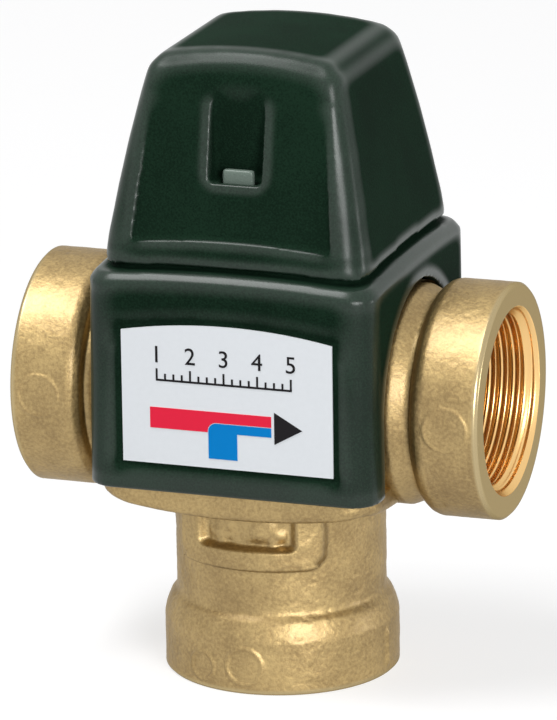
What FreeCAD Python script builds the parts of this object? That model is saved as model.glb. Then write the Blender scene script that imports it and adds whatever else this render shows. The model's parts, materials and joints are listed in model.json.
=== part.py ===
"""Thermostatic mixing valve, three female threaded ports.

Hot water enters on the left (-X), cold water from below (-Z) and mixed water leaves on
the right (+X).  A wax thermostat in the mixed chamber carries one disc above the hot
seat and one below the cold seat, so warming closes the hot side as it opens the cold.
The knob under the cap sets the temperature by moving the point that the pin pushes on.

Millimetres.  The origin is the middle of the bottom port's face, with +Z up and the
label on the -Y side.
"""
import FreeCAD
import Part
import math
import os
from FreeCAD import Vector

# ---------------------------------------------------------------- casting, outside
FACE_TO_FACE = 70.0          # across the two side ports
PORT_AXIS_Z = 42.0           # side port axis above the bottom port's face
SOCKET_R = 17.0              # outside of each threaded socket
SOCKET_LENGTH = 8.0          # full-radius part of a side socket
BASE_SOCKET_HEIGHT = 7.5     # full-radius part of the bottom socket
SOCKET_SHOULDER = 2.6        # length of the rounded step behind a side socket
BASE_SHOULDER = 4.6          # height of the rounded step above the bottom socket
SHOULDER_STEPS = 2           # chords in each rounded step
SOCKET_CHAMFER = 0.4
NECK_R = 15.2                # neck behind each socket
NECK_CREASE = 0.4            # how much deeper the crease beside the socket is
NECK_CREST_R = 15.9          # collar on the side necks, just outside the cover
NECK_CREST_X = 21.2
FLANGE_HALF_X = 20.6         # square ledge that the lower cover stands on
FLANGE_HALF_Y = 21.5
FLANGE_CORNER = 5.0
FLANGE_HEIGHT = 4.0          # at the middle of each side
FLANGE_CROWN_R = 98.0        # the ledge's underside is arched along the front and the sides
FLANGE_BEVEL = 0.8
PAD_HALF_Y = 16.3            # side pad that fills the cover's opening
PAD_REACH = 21.2             # distance of each pad's face from the middle
BOSS_R = 17.2                # round boss that takes the bonnet
BODY_RISE = 18.0             # boss top above the port axis
COVER_DROP = 10.8            # cover's lower edge below the port axis
BEAD_HALF_WIDTH = 11.0       # cast U on the front of the lower neck
BEAD_POCKET_HALF = 6.1
BEAD_BAND = 3.6              # width of the U's lower limb
BEAD_DROP = 9.2              # U's lower edge below the ledge
BEAD_HEIGHT = 1.1            # how far it stands out of the neck
BEAD_CORNER = 2.4            # corners of the U, cut at a slant

# ---------------------------------------------------------------- casting, inside
THREAD_R = 13.22             # Rp 3/4, radius at the thread's root
THREAD_DEPTH = 15.0
MOUTH_CHAMFER = 0.4
CHAMBER_R = 13.0
COLD_CHAMBER_R = 12.0
PASSAGE_R = 12.0             # passages from the side ports to the chambers
SEAT_HOLE_R = 9.0
SEAT_LIP = 0.5               # height of the lip that each disc closes on
SEAT_LIP_WIDTH = 1.0
SEAT_WEB = 2.0               # thickness of the wall round each seat
HOT_SEAT_RISE = 5.5          # hot seat above the port axis
COLD_SEAT_DROP = 13.0        # cold seat below the port axis
BONNET_THREAD_R = 14.0
BONNET_THREAD_DEPTH = 5.5
SEAL_POCKET_R = 15.2
SEAL_POCKET_DEPTH = 1.6

# ---------------------------------------------------------------- lower cover
COVER_HALF_X = 21.6          # at its lower edge
COVER_HALF_Y = 23.0
COVER_DRAFT_X = 0.2          # how much narrower it is at the top
COVER_DRAFT_Y = 0.5
COVER_CORNER = 4.0
COVER_WALL = 1.8
COVER_CROWN_R = 220.0        # the top edge follows a shallow dome
COVER_CROWN_RISE = 22.4      # dome's top above the port axis
COVER_EDGE_BEVEL = 1.1
OPENING_GAP = 0.35           # between a side pad and the cover's opening
DECK_THICKNESS = 1.6
DECK_HOLE_GAP = 0.4
SPIGOT_HALF_X = 18.05        # square rim inside the cap
SPIGOT_HALF_Y = 19.0
SPIGOT_CORNER = 3.0
SPIGOT_WALL = 1.45
SPIGOT_RISE = 24.0           # rim's top above the port axis
RECESS_DEPTH = 0.65          # label recess below the front face at mid height
RECESS_MARGIN = 1.0

# ---------------------------------------------------------------- label
LABEL_HALF_WIDTH = 15.7
LABEL_DROP = 6.6             # lower edge below the port axis
LABEL_SIDE_RISE = 12.7       # top edge above the port axis, at the sides
LABEL_ARCH = 1.5             # extra height in the middle
LABEL_THICKNESS = 0.25
PRINT_THICKNESS = 0.06
PRINT_GAP = 0.1              # bare line between the two bars
BAR_LEFT = -11.5
BAR_RIGHT = 6.6
BAR_TOP = 1.7                # above the port axis
BAR_BOTTOM = -1.35           # below it
LEG_LEFT = -2.8
LEG_RIGHT = 1.5
LEG_BOTTOM = -5.2
LEG_ROUND = 1.2
ARROW_BASE = 7.05
ARROW_TIP = 11.2
ARROW_HALF = 2.35

# ---------------------------------------------------------------- cap
CAP_TOP_Z = 94.0
CAP_HALF = 20.05             # half width at the cap's lower edge
CAP_TAPER = 0.135            # first-order narrowing per mm of height
CAP_BULGE = 0.0020           # second-order narrowing
CAP_EXTRA_DEPTH = 1.05       # how much deeper than wide it is, at the lower edge
CAP_CORNER = 4.4             # corner radius at the lower edge
CAP_CORNER_TOP = 2.2
CAP_STAGES = 5               # straight stages that make up the bowed sides
CORNER_CHORDS = 6            # chords in each rounded corner of the mouldings
HIDDEN_SIDES = 24            # flats round a hidden ring, seal or chamber
CAP_SEAM = 0.7               # shadow gap above the lower cover
CAP_WALL = 2.2
CAP_RIM_GAP = 0.2            # round the cover's rim
CAP_CROWN_R = 70.0
CAP_EDGE_BEVEL = 1.3
PANEL_HALF_LOW = 14.8        # shallow panel in the front
PANEL_HALF_TOP = 13.2
PANEL_BOTTOM_RISE = 25.0     # above the port axis, at the panel's corners
PANEL_TOP_RISE = 44.5
PANEL_ARCH = 0.9
PANEL_DEPTH = 0.7
SLOT_HALF_WIDTH = 3.9        # latch slot in the front
SLOT_FLOOR_RISE = 33.7       # above the port axis
SLOT_TOP_RISE = 46.5
SLOT_DEPTH = 4.2             # at its floor
SLOT_WALL = 1.5

# ---------------------------------------------------------------- latch tongue
TONGUE_HALF_WIDTH = 2.4
TONGUE_THICKNESS = 1.3
TONGUE_SETBACK = 2.05        # behind the cap's front face at the slot's floor
TONGUE_PROUD = 1.8           # above the slot's floor
TONGUE_GAP = 0.4

# ---------------------------------------------------------------- bonnet and spindle
THREAD_GAP = 0.05            # running clearance of the screwed and sliding fits
COLLAR_R = 16.0
COLLAR_HEIGHT = 1.5
HEX_ACROSS_FLATS = 27.0
HEX_HEIGHT = 4.0
HUB_R = 8.5
HUB_HEIGHT = 3.4
SPINDLE_THREAD_R = 7.0
SPINDLE_STEM_R = 4.0
SPINDLE_BORE_R = 4.9
SPINDLE_END_WALL = 1.4
SPINDLE_HEADROOM = 1.1       # axial room above its thread
SPINDLE_FLAT = 3.1           # flats that drive the knob, from the axis
STEM_SEAL_SIDE = 1.1         # section of the square ring on the stem
STOP_PIN_RADIUS = 0.9        # pin pressed into the knob, which meets the gland's lug
STOP_PIN_AT = 10.5           # its distance from the axis
STOP_PIN_DROP = 2.2          # below the knob
STOP_PIN_DEPTH = 2.2         # into the knob
STOP_LUG_HALF_WIDTH = 1.2
STOP_LUG_OUT_R = 11.6

# ---------------------------------------------------------------- knob
KNOB_R = 11.3
KNOB_SKIRT_R = 12.0
KNOB_SKIRT_HEIGHT = 3.0
KNOB_HEIGHT = 12.9
KNOB_LIFT = 1.1              # above the bonnet's hub
KNOB_HUB_R = 6.2
KNOB_WALL = 1.8
KNOB_FLUTES = 10
FLUTE_R = 1.6
KNOB_BEVEL = 1.2
KNOB_POINTER_HALF_WIDTH = 0.8
SCREW_R = 1.9
SCREW_HEAD_R = 3.4
SCREW_HEAD_HEIGHT = 2.2
SCREW_LENGTH = 7.0

# ---------------------------------------------------------------- overload parts
CLIP_THICKNESS = 1.0
CLIP_INNER_R = 4.0
CLIP_GROOVE = 0.45
CLIP_RISE = 0.5              # above the spindle's lower end
CUP_R = 4.75
CUP_THICKNESS = 1.5
CUP_SPIGOT_R = 2.6
CUP_SPIGOT_HEIGHT = 2.0
OVERLOAD_WIRE_R = 0.5
OVERLOAD_COIL_R = 3.7
OVERLOAD_TURNS = 3

# ---------------------------------------------------------------- shuttle
DISC_GAP = 1.5               # between each disc and its seat, at rest
DISC_R = 11.0
DISC_THICKNESS = 1.5
DISC_SEAL_R = 10.6
DISC_SEAL_THICKNESS = 1.2
CAPSULE_R = 6.0
CAPSULE_FLOOR_GAP = 2.0      # capsule's lower end above the cold seat
CAPSULE_NECK_R = 5.0
GUIDE_R = 3.5
GUIDE_LENGTH = 2.2
PIN_R = 1.5
PIN_DEPTH = 12.0             # how far the pin reaches into the capsule
STUD_R = 3.0
STUD_SHOULDER_R = 4.2        # the cold ring seats under this
NUT_HALF_FLATS = 5.0
NUT_HEIGHT = 2.4
DISC_CLIP_R = 7.0
BALANCE_FIT = 0.03           # between the discs and the capsule

# ---------------------------------------------------------------- return spring
SNAP_GROOVE_R = 13.0
SNAP_THICKNESS = 1.2
SNAP_INNER_R = 10.6
SNAP_OPEN_ANGLE = 50.0
SNAP_ABOVE_THREAD = 0.6
SPRING_SEAT_THICKNESS = 1.4
SPRING_SEAT_RIM = 1.3
SPRING_SEAT_RING_IN_R = 6.3
SPRING_SEAT_RING_OUT_R = 8.9
SPRING_SEAT_SPOKES = 3
SPOKE_WIDTH = 2.4
RETURN_WIRE_R = 0.7
RETURN_COIL_R = 7.6
RETURN_TURNS = 3
COIL_RUNS = 12               # straight runs in each turn of a spring

# ---------------------------------------------------------------- worked-out places
PORT_FACE_X = FACE_TO_FACE / 2
COVER_BOTTOM_Z = PORT_AXIS_Z - COVER_DROP
BODY_TOP_Z = PORT_AXIS_Z + BODY_RISE
DECK_TOP_Z = BODY_TOP_Z + DECK_THICKNESS
SPIGOT_TOP_Z = PORT_AXIS_Z + SPIGOT_RISE
COVER_CROWN_Z = PORT_AXIS_Z + COVER_CROWN_RISE
HOT_SEAT_Z = PORT_AXIS_Z + HOT_SEAT_RISE
COLD_SEAT_Z = PORT_AXIS_Z - COLD_SEAT_DROP
HOT_WEB_TOP_Z = HOT_SEAT_Z - SEAT_LIP
COLD_WEB_BOTTOM_Z = COLD_SEAT_Z + SEAT_LIP
BONNET_LOW_Z = BODY_TOP_Z - BONNET_THREAD_DEPTH
HEX_LOW_Z = DECK_TOP_Z + COLLAR_HEIGHT
HEX_TOP_Z = HEX_LOW_Z + HEX_HEIGHT
HUB_TOP_Z = HEX_TOP_Z + HUB_HEIGHT
SPINDLE_LOW_Z = BONNET_LOW_Z + 8 * THREAD_GAP
SPINDLE_ROOM_TOP_Z = HEX_TOP_Z - SPINDLE_HEADROOM
SPINDLE_SHOULDER_Z = SPINDLE_ROOM_TOP_Z - SPINDLE_HEADROOM
SPINDLE_BORE_TOP_Z = SPINDLE_SHOULDER_Z - SPINDLE_END_WALL
KNOB_LOW_Z = HUB_TOP_Z + KNOB_LIFT
KNOB_TOP_Z = KNOB_LOW_Z + KNOB_HEIGHT
SPINDLE_TOP_Z = KNOB_TOP_Z - SCREW_HEAD_HEIGHT
CLIP_LOW_Z = SPINDLE_LOW_Z + CLIP_RISE
CUP_LOW_Z = CLIP_LOW_Z + CLIP_THICKNESS
SLOT_FLOOR_Z = PORT_AXIS_Z + SLOT_FLOOR_RISE
SLOT_TOP_Z = PORT_AXIS_Z + SLOT_TOP_RISE
CAP_SEAM_Z = COVER_CROWN_Z + CAP_SEAM
HOT_SEAL_Z = HOT_SEAT_Z + DISC_GAP
HOT_DISC_Z = HOT_SEAL_Z + DISC_SEAL_THICKNESS
DISC_CLIP_Z = HOT_DISC_Z + DISC_THICKNESS
COLD_SEAL_Z = COLD_SEAT_Z - DISC_GAP - DISC_SEAL_THICKNESS
COLD_DISC_Z = COLD_SEAL_Z - DISC_THICKNESS
NUT_Z = COLD_DISC_Z - NUT_HEIGHT
SNAP_Z = THREAD_DEPTH + SNAP_ABOVE_THREAD
SPRING_SEAT_Z = SNAP_Z + SNAP_THICKNESS
SPRING_LOW_Z = SPRING_SEAT_Z + SPRING_SEAT_THICKNESS
FAR = 200.0                  # larger than the valve, for cutting tools


# ================================================================ shape helpers
def edges_of(path):
    """Edges of a closed outline.  A point joins by a line, an (mid, end) pair by an arc."""
    edges = []
    here = path[0]
    for step in path[1:] + [path[0]]:
        if isinstance(step, tuple):
            middle, end = step
            edges.append(Part.Arc(here, middle, end).toShape())
        else:
            end = step
            edges.append(Part.LineSegment(here, end).toShape())
        here = end
    return edges


def turned_z(path):
    """Solid turned about Z from an outline of (radius, z) points."""
    points = [to_xz(step) for step in path]
    face = Part.Face(Part.Wire(edges_of(points)))
    return face.revolve(Vector(0, 0, 0), Vector(0, 0, 1), 360)


def turned_x(path):
    """Solid turned about the port axis from an outline of (x, radius) points."""
    lifted = [lift(step, PORT_AXIS_Z) for step in path]
    face = Part.Face(Part.Wire(edges_of(lifted)))
    return face.revolve(Vector(0, 0, PORT_AXIS_Z), Vector(1, 0, 0), 360)


def to_xz(step):
    """A (a, b) point, or a pair of them for an arc, on the XZ plane."""
    if isinstance(step[0], tuple):
        return tuple(Vector(a, 0, b) for a, b in step)
    return Vector(step[0], 0, step[1])


def lift(step, height):
    """The same as to_xz, raised by a height."""
    if isinstance(step[0], tuple):
        return tuple(Vector(a, 0, b + height) for a, b in step)
    return Vector(step[0], 0, step[1] + height)


def plate_xz(path, y_front, y_back):
    """An XZ outline drawn out from its front Y to its back Y."""
    face = Part.Face(Part.Wire(edges_of([to_xz(step) for step in path])))
    face.translate(Vector(0, y_front, 0))
    return face.extrude(Vector(0, y_back - y_front, 0))


def tube(outer, inner, low, high):
    """Ring about Z; an inner radius of zero gives a plain disc."""
    ring = Part.makeCylinder(outer, high - low, Vector(0, 0, low))
    if inner > 0:
        ring = ring.cut(Part.makeCylinder(inner, high - low, Vector(0, 0, low)))
    return ring


def prism(radius, low, high):
    """Upright prism with its corners on a circle: how hidden round pieces are drawn, to stay light."""
    corners = [Vector(radius * math.cos(2 * math.pi * i / HIDDEN_SIDES),
                      radius * math.sin(2 * math.pi * i / HIDDEN_SIDES), low) for i in range(HIDDEN_SIDES)]
    return flat(corners).extrude(Vector(0, 0, high - low))


def ring(outer, inner, low, high):
    """The same as tube, for pieces and chambers that stay hidden."""
    solid = prism(outer, low, high)
    if inner > 0:
        solid = solid.cut(prism(inner, low, high))
    return solid


def bar_x(radius, start, end, height):
    """Cylinder along X between two X places."""
    return Part.makeCylinder(radius, end - start, Vector(start, 0, height), Vector(1, 0, 0))


def box(x0, x1, y0, y1, z0, z1):
    """Box between two opposite corners."""
    return Part.makeBox(x1 - x0, y1 - y0, z1 - z0, Vector(x0, y0, z0))


def rounded_square(half_x, half_y, corner, height):
    """Points of a rectangle with rounded corners, each drawn in short chords."""
    points = []
    for quarter, (side_x, side_y) in enumerate(((1, 1), (-1, 1), (-1, -1), (1, -1))):
        centre = Vector(side_x * (half_x - corner), side_y * (half_y - corner), height)
        for i in range(CORNER_CHORDS + 1):
            angle = math.pi / 2 * (quarter + i / CORNER_CHORDS)
            points.append(centre + Vector(corner * math.cos(angle), corner * math.sin(angle), 0))
    return points


def flat(points):
    """Flat face with the given corners."""
    return Part.Face(Part.makePolygon(points + points[:1]))


def tapered(levels):
    """Solid with flat sides between outlines that lie above each other and run the same way."""
    faces = [flat(levels[0]), flat(levels[-1])]
    for lower, upper in zip(levels, levels[1:]):
        for i in range(len(lower)):
            faces.append(flat([lower[i - 1], lower[i], upper[i], upper[i - 1]]))
    return Part.Solid(Part.Shell(faces))


def block(half_x, half_y, corner, low, high):
    """Upright block with round corners."""
    return flat(rounded_square(half_x, half_y, corner, low)).extrude(Vector(0, 0, high - low))


def eased(start, corner, end, steps):
    """Points of a quarter ellipse from start to end that leans towards the corner."""
    points = []
    for i in range(1, steps):
        angle = math.pi / 2 * i / steps
        ahead = 1 - math.cos(angle)
        left = 1 - math.sin(angle)
        points.append((corner[0] + (start[0] - corner[0]) * left + (end[0] - corner[0]) * ahead,
                       corner[1] + (start[1] - corner[1]) * left + (end[1] - corner[1]) * ahead))
    return [start] + points + [end]


def coil(coil_r, wire_r, turns, low, high):
    """Compression spring about Z that just fills the height between low and high."""
    rise = high - low - 2 * wire_r
    runs = turns * COIL_RUNS
    points = []
    for i in range(runs + 1):
        angle = 2 * math.pi * i / COIL_RUNS
        points.append(Vector(coil_r * math.cos(angle), coil_r * math.sin(angle),
                             low + wire_r + rise * i / runs))
    sections = []
    for i, point in enumerate(points):
        angle = 2 * math.pi * i / COIL_RUNS
        outward = Vector(math.cos(angle), math.sin(angle), 0)
        ring = [point + outward * (wire_r * math.cos(turn)) + Vector(0, 0, wire_r * math.sin(turn))
                for turn in (math.pi / 6 + math.pi / 3 * side for side in range(6))]
        sections.append(Part.makePolygon(ring + ring[:1]))
    return Part.makeLoft(sections, True, True)


def hexagon(half_flats, low, high):
    """Hexagonal prism about Z with two flats facing front and back."""
    reach = half_flats / math.cos(math.pi / 6)
    corners = [
        Vector(reach * math.cos(math.radians(60 * i)), reach * math.sin(math.radians(60 * i)), low)
        for i in range(6)
    ]
    return flat(corners).extrude(Vector(0, 0, high - low))


def edges_where(shape, test):
    """Edges whose every vertex passes the test."""
    return [edge for edge in shape.Edges if all(test(v.Point) for v in edge.Vertexes)]


def dome(radius, top):
    """Large ball whose highest point lies on the axis at the given height."""
    return Part.makeSphere(radius, Vector(0, 0, top - radius))


# ================================================================ casting
def side_socket_profile():
    """Outline of both side sockets and the neck between them, from the -X to the +X face."""
    shoulder_x = PORT_FACE_X - SOCKET_LENGTH
    crease_x = shoulder_x - SOCKET_SHOULDER
    crease_r = NECK_R - NECK_CREASE
    half = [(NECK_CREST_X, NECK_CREST_R)]
    half += eased((crease_x, crease_r), (crease_x, SOCKET_R), (shoulder_x, SOCKET_R), SHOULDER_STEPS)
    half += [(PORT_FACE_X - SOCKET_CHAMFER, SOCKET_R), (PORT_FACE_X, SOCKET_R - SOCKET_CHAMFER)]
    other = [(-x, radius) for x, radius in reversed(half)]
    return [(-PORT_FACE_X, 0)] + other + half + [(PORT_FACE_X, 0)]


def base_socket_profile():
    """Outline of the bottom socket and the neck above it."""
    neck_z = BASE_SOCKET_HEIGHT + BASE_SHOULDER
    shoulder = eased((SOCKET_R, BASE_SOCKET_HEIGHT), (SOCKET_R - 0.4, neck_z - 1.4), (NECK_R, neck_z),
                     SHOULDER_STEPS)
    return [(0, 0), (SOCKET_R - SOCKET_CHAMFER, 0), (SOCKET_R, SOCKET_CHAMFER)] + shoulder + [
        (NECK_R, COVER_BOTTOM_Z), (0, COVER_BOTTOM_Z)]


def ledge_vault(half):
    """Space above the arch that the ledge's underside makes along one pair of sides."""
    low = COVER_BOTTOM_Z - FLANGE_HEIGHT
    foot_z = low + FLANGE_CROWN_R - math.sqrt(FLANGE_CROWN_R ** 2 - half ** 2)
    return plate_xz([(-half, COVER_BOTTOM_Z), (-half, foot_z), ((0, low), (half, foot_z)),
                     (half, COVER_BOTTOM_Z)], -half, half)


def on_ledge_side(point):
    """Whether a point lies on the ledge's upright sides or round corners."""
    beyond_x = abs(point.x) - (FLANGE_HALF_X - FLANGE_CORNER)
    beyond_y = abs(point.y) - (FLANGE_HALF_Y - FLANGE_CORNER)
    return math.hypot(max(beyond_x, 0), max(beyond_y, 0)) > 0.97 * FLANGE_CORNER


def ledge():
    """Square ledge under the cover, arched along each side and bevelled round its lower edge."""
    half = 1.2 * FLANGE_HALF_Y
    side = ledge_vault(half)
    side.rotate(Vector(0, 0, 0), Vector(0, 0, 1), 90)
    blank = block(FLANGE_HALF_X, FLANGE_HALF_Y, FLANGE_CORNER, COVER_BOTTOM_Z - FLANGE_HEIGHT, COVER_BOTTOM_Z)
    blank = blank.common(ledge_vault(half).fuse(side))
    rim = edges_where(blank, lambda p: p.z < COVER_BOTTOM_Z and on_ledge_side(p))
    return blank.makeChamfer(FLANGE_BEVEL, [edge for edge in rim if on_ledge_side(edge.CenterOfMass)])


def arch_path(half_width, low, shift):
    """U outline open to the bottom: straight legs and a round head about the port axis."""
    head = PORT_AXIS_Z + half_width
    return [
        Vector(shift, -half_width, low),
        Vector(shift, half_width, low),
        Vector(shift, half_width, PORT_AXIS_Z),
        (Vector(shift, 0, head), Vector(shift, -half_width, PORT_AXIS_Z)),
    ]


def arch_block(half_width, low, reach):
    """The U outline drawn out along X, both ways from the middle."""
    face = Part.Face(Part.Wire(edges_of(arch_path(half_width, low, -reach))))
    return face.extrude(Vector(2 * reach, 0, 0))


def front_bead():
    """Cast U that stands out of the lower neck, under the ledge."""
    top = COVER_BOTTOM_Z - 0.5 * FLANGE_HEIGHT
    low = COVER_BOTTOM_Z - FLANGE_HEIGHT - BEAD_DROP
    half = BEAD_HALF_WIDTH
    pocket_low = low + BEAD_BAND
    outline = [
        (-half, top), (-half, low + BEAD_CORNER), (-half + BEAD_CORNER, low),
        (half - BEAD_CORNER, low), (half, low + BEAD_CORNER), (half, top),
        (BEAD_POCKET_HALF, top), (BEAD_POCKET_HALF, pocket_low),
        (-BEAD_POCKET_HALF, pocket_low), (-BEAD_POCKET_HALF, top),
    ]
    face_r = NECK_R + BEAD_HEIGHT
    hidden_r = NECK_R - BEAD_HEIGHT
    skin = turned_z([(0, low), (hidden_r, low), (face_r, low + BEAD_HEIGHT), (face_r, top), (0, top)])
    return plate_xz(outline, -FAR / 4, -hidden_r * math.cos(math.radians(50))).common(skin)


def port_bore(start, direction):
    """Threaded bore with its mouth chamfer, cut inwards from a port's face."""
    hole = Part.makeCylinder(THREAD_R, THREAD_DEPTH, start, direction)
    mouth = Part.makeCone(THREAD_R + MOUTH_CHAMFER, THREAD_R, MOUTH_CHAMFER, start, direction)
    return hole.fuse(mouth)


def water_ways():
    """Chambers, seats and passages, joined into the three port bores."""
    left = port_bore(Vector(-PORT_FACE_X, 0, PORT_AXIS_Z), Vector(1, 0, 0))
    right = port_bore(Vector(PORT_FACE_X, 0, PORT_AXIS_Z), Vector(-1, 0, 0))
    below = port_bore(Vector(0, 0, 0), Vector(0, 0, 1))
    bore_end_x = PORT_FACE_X - THREAD_DEPTH
    mixed_top = HOT_SEAT_Z - SEAT_WEB
    mixed_low = COLD_SEAT_Z + SEAT_WEB + SEAT_LIP
    hot_top = BONNET_LOW_Z
    hot_slice = box(-FAR, 0, -FAR, FAR, HOT_WEB_TOP_Z, hot_top)
    mixed_slice = box(0, FAR, -FAR, FAR, mixed_low, mixed_top)
    lip_out = SEAT_HOLE_R + SEAT_LIP_WIDTH
    hot_chamber = ring(CHAMBER_R, 0, HOT_WEB_TOP_Z, hot_top)
    hot_chamber = hot_chamber.cut(ring(lip_out, SEAT_HOLE_R, HOT_WEB_TOP_Z, HOT_SEAT_Z))
    cold_chamber = ring(COLD_CHAMBER_R, 0, THREAD_DEPTH, COLD_WEB_BOTTOM_Z)
    cold_chamber = cold_chamber.cut(ring(lip_out, SEAT_HOLE_R, COLD_SEAT_Z, COLD_WEB_BOTTOM_Z))
    parts = [
        right,
        below,
        bar_x(PASSAGE_R, -bore_end_x - 1, 0, PORT_AXIS_Z).common(hot_slice),
        bar_x(PASSAGE_R, 0, bore_end_x + 1, PORT_AXIS_Z).common(mixed_slice),
        hot_chamber,
        ring(CHAMBER_R, 0, mixed_low, mixed_top),
        cold_chamber,
        ring(SEAT_HOLE_R, 0, COLD_SEAT_Z, HOT_SEAT_Z),
        ring(SNAP_GROOVE_R, 0, SNAP_Z, SNAP_Z + SNAP_THICKNESS),
        tube(BONNET_THREAD_R, 0, BONNET_LOW_Z, BODY_TOP_Z),
        tube(SEAL_POCKET_R, 0, BODY_TOP_Z - SEAL_POCKET_DEPTH, BODY_TOP_Z),
    ]
    return left.multiFuse(parts)


def valve_body():
    """Brass casting with its ports, seats and passages."""
    pad = arch_block(PAD_HALF_Y, COVER_BOTTOM_Z, PAD_REACH)
    boss = tube(BOSS_R, 0, COVER_BOTTOM_Z, BODY_TOP_Z)
    outside = turned_x(side_socket_profile())
    for piece in (turned_z(base_socket_profile()), ledge(), pad, boss, front_bead()):
        outside = outside.fuse(piece)
    return outside.cut(water_ways())


# ================================================================ lower cover
def cover_blank(inset, low, high):
    """Tapered outer form of the cover, or the same form set in by a wall."""
    levels = []
    for height in (low, high):
        share = (height - COVER_BOTTOM_Z) / (COVER_CROWN_Z - COVER_BOTTOM_Z)
        half_x = COVER_HALF_X - COVER_DRAFT_X * share - inset
        half_y = COVER_HALF_Y - COVER_DRAFT_Y * share - inset
        levels.append(rounded_square(half_x, half_y, COVER_CORNER - 0.6 * inset, height))
    return tapered(levels)


def label_outline(margin):
    """Label outline, or its recess when given a margin."""
    half = LABEL_HALF_WIDTH + margin
    low = PORT_AXIS_Z - LABEL_DROP - margin
    side = PORT_AXIS_Z + LABEL_SIDE_RISE + margin
    return [(-half, low), (half, low), (half, side), ((0, side + LABEL_ARCH), (-half, side))]


def label_floor_y():
    """Y of the flat floor that the label is glued to."""
    share = COVER_DROP / (COVER_CROWN_Z - COVER_BOTTOM_Z)
    return -(COVER_HALF_Y - COVER_DRAFT_Y * share) + RECESS_DEPTH


def tongue_front_y():
    """Y of the latch tongue's front face."""
    return -cap_half_depth(SLOT_FLOOR_Z) + TONGUE_SETBACK


def latch_tongue():
    """Springy tongue whose tip stands in the cap's slot."""
    front = tongue_front_y()
    back = front + TONGUE_THICKNESS
    root_low = SPIGOT_TOP_Z - TONGUE_PROUD
    blade = box(-TONGUE_HALF_WIDTH, TONGUE_HALF_WIDTH, front, back, root_low, SLOT_FLOOR_Z + TONGUE_PROUD)
    root = box(-TONGUE_HALF_WIDTH, TONGUE_HALF_WIDTH, -SPIGOT_HALF_Y + 0.5 * SPIGOT_WALL, back,
               root_low, SPIGOT_TOP_Z)
    return blade.fuse(root)


def lower_cover():
    """Moulded cover round the casting, with the rim that the cap sits on."""
    shell = cover_blank(0, COVER_BOTTOM_Z, COVER_CROWN_Z).common(dome(COVER_CROWN_R, COVER_CROWN_Z))
    shell = shell.makeChamfer(COVER_EDGE_BEVEL, edges_where(shell, lambda p: p.z > BODY_TOP_Z))
    rim = block(SPIGOT_HALF_X, SPIGOT_HALF_Y, SPIGOT_CORNER, BODY_TOP_Z, SPIGOT_TOP_Z)
    shell = shell.fuse(rim)
    well = block(SPIGOT_HALF_X - SPIGOT_WALL, SPIGOT_HALF_Y - SPIGOT_WALL, SPIGOT_CORNER - 0.5 * SPIGOT_WALL,
                 DECK_TOP_Z, SPIGOT_TOP_Z + 1)
    hollow = cover_blank(COVER_WALL, COVER_BOTTOM_Z - 1, BODY_TOP_Z)
    hole = tube(BONNET_THREAD_R + DECK_HOLE_GAP, 0, BODY_TOP_Z - 1, DECK_TOP_Z + 1)
    side_way = arch_block(PAD_HALF_Y + OPENING_GAP, COVER_BOTTOM_Z - 1, FAR / 4)
    recess = plate_xz(label_outline(RECESS_MARGIN), label_floor_y() - RECESS_DEPTH - 1, label_floor_y())
    shell = shell.cut(well).cut(hollow).cut(hole).cut(side_way).cut(recess)
    return shell.fuse(latch_tongue())


# ================================================================ label
def print_field(path):
    """Printed area on the label, drawn about the port axis."""
    front = label_floor_y() - LABEL_THICKNESS
    return plate_xz([offset_z(step) for step in path], front - PRINT_THICKNESS, front)


def offset_z(step):
    """A point or arc given relative to the port axis."""
    if isinstance(step[0], tuple):
        return tuple((a, b + PORT_AXIS_Z) for a, b in step)
    return (step[0], step[1] + PORT_AXIS_Z)


def label():
    """Printed plate in the cover's recess."""
    return plate_xz(label_outline(0), label_floor_y() - LABEL_THICKNESS, label_floor_y())


def bar_bend(gap):
    """Rounded corner where the cold bar turns, as an arc with an optional gap round it."""
    centre_x = LEG_LEFT + LEG_ROUND
    radius = LEG_ROUND + gap
    slant = radius * math.sqrt(0.5)
    return (centre_x, gap), ((centre_x - slant, slant - LEG_ROUND), (LEG_LEFT - gap, -LEG_ROUND))


def label_hot_bar():
    """Bar of hot water, half as wide where the cold one joins it."""
    start, bend = bar_bend(PRINT_GAP)
    return print_field([(BAR_LEFT, BAR_TOP), (BAR_RIGHT, BAR_TOP), (BAR_RIGHT, PRINT_GAP), start, bend,
                        (LEG_LEFT - PRINT_GAP, BAR_BOTTOM), (BAR_LEFT, BAR_BOTTOM)])


def label_cold_bar():
    """Bar of cold water: up from below, then along with the hot one."""
    start, bend = bar_bend(0)
    return print_field([(LEG_LEFT, LEG_BOTTOM), (LEG_RIGHT, LEG_BOTTOM), (LEG_RIGHT, BAR_BOTTOM),
                        (BAR_RIGHT, BAR_BOTTOM), (BAR_RIGHT, 0), start, bend])


def label_arrow():
    """Head of the flow arrow."""
    return print_field([(ARROW_BASE, -ARROW_HALF), (ARROW_TIP, 0), (ARROW_BASE, ARROW_HALF)])


# ================================================================ cap
def cap_half_width(height):
    """Half width of the cap, which narrows faster towards the top."""
    rise = height - (PORT_AXIS_Z + 20)
    return CAP_HALF - CAP_TAPER * rise - CAP_BULGE * rise * rise


def cap_half_depth(height):
    """Half depth of the cap."""
    span = CAP_TOP_Z - (PORT_AXIS_Z + 20)
    share = (height - (PORT_AXIS_Z + 20)) / span
    return cap_half_width(height) + CAP_EXTRA_DEPTH * (1 - 0.85 * share)


def cap_corner(height):
    """Corner radius of the cap, larger at its foot."""
    share = (height - (PORT_AXIS_Z + 20)) / (CAP_TOP_Z - (PORT_AXIS_Z + 20))
    return CAP_CORNER + (CAP_CORNER_TOP - CAP_CORNER) * share


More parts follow.
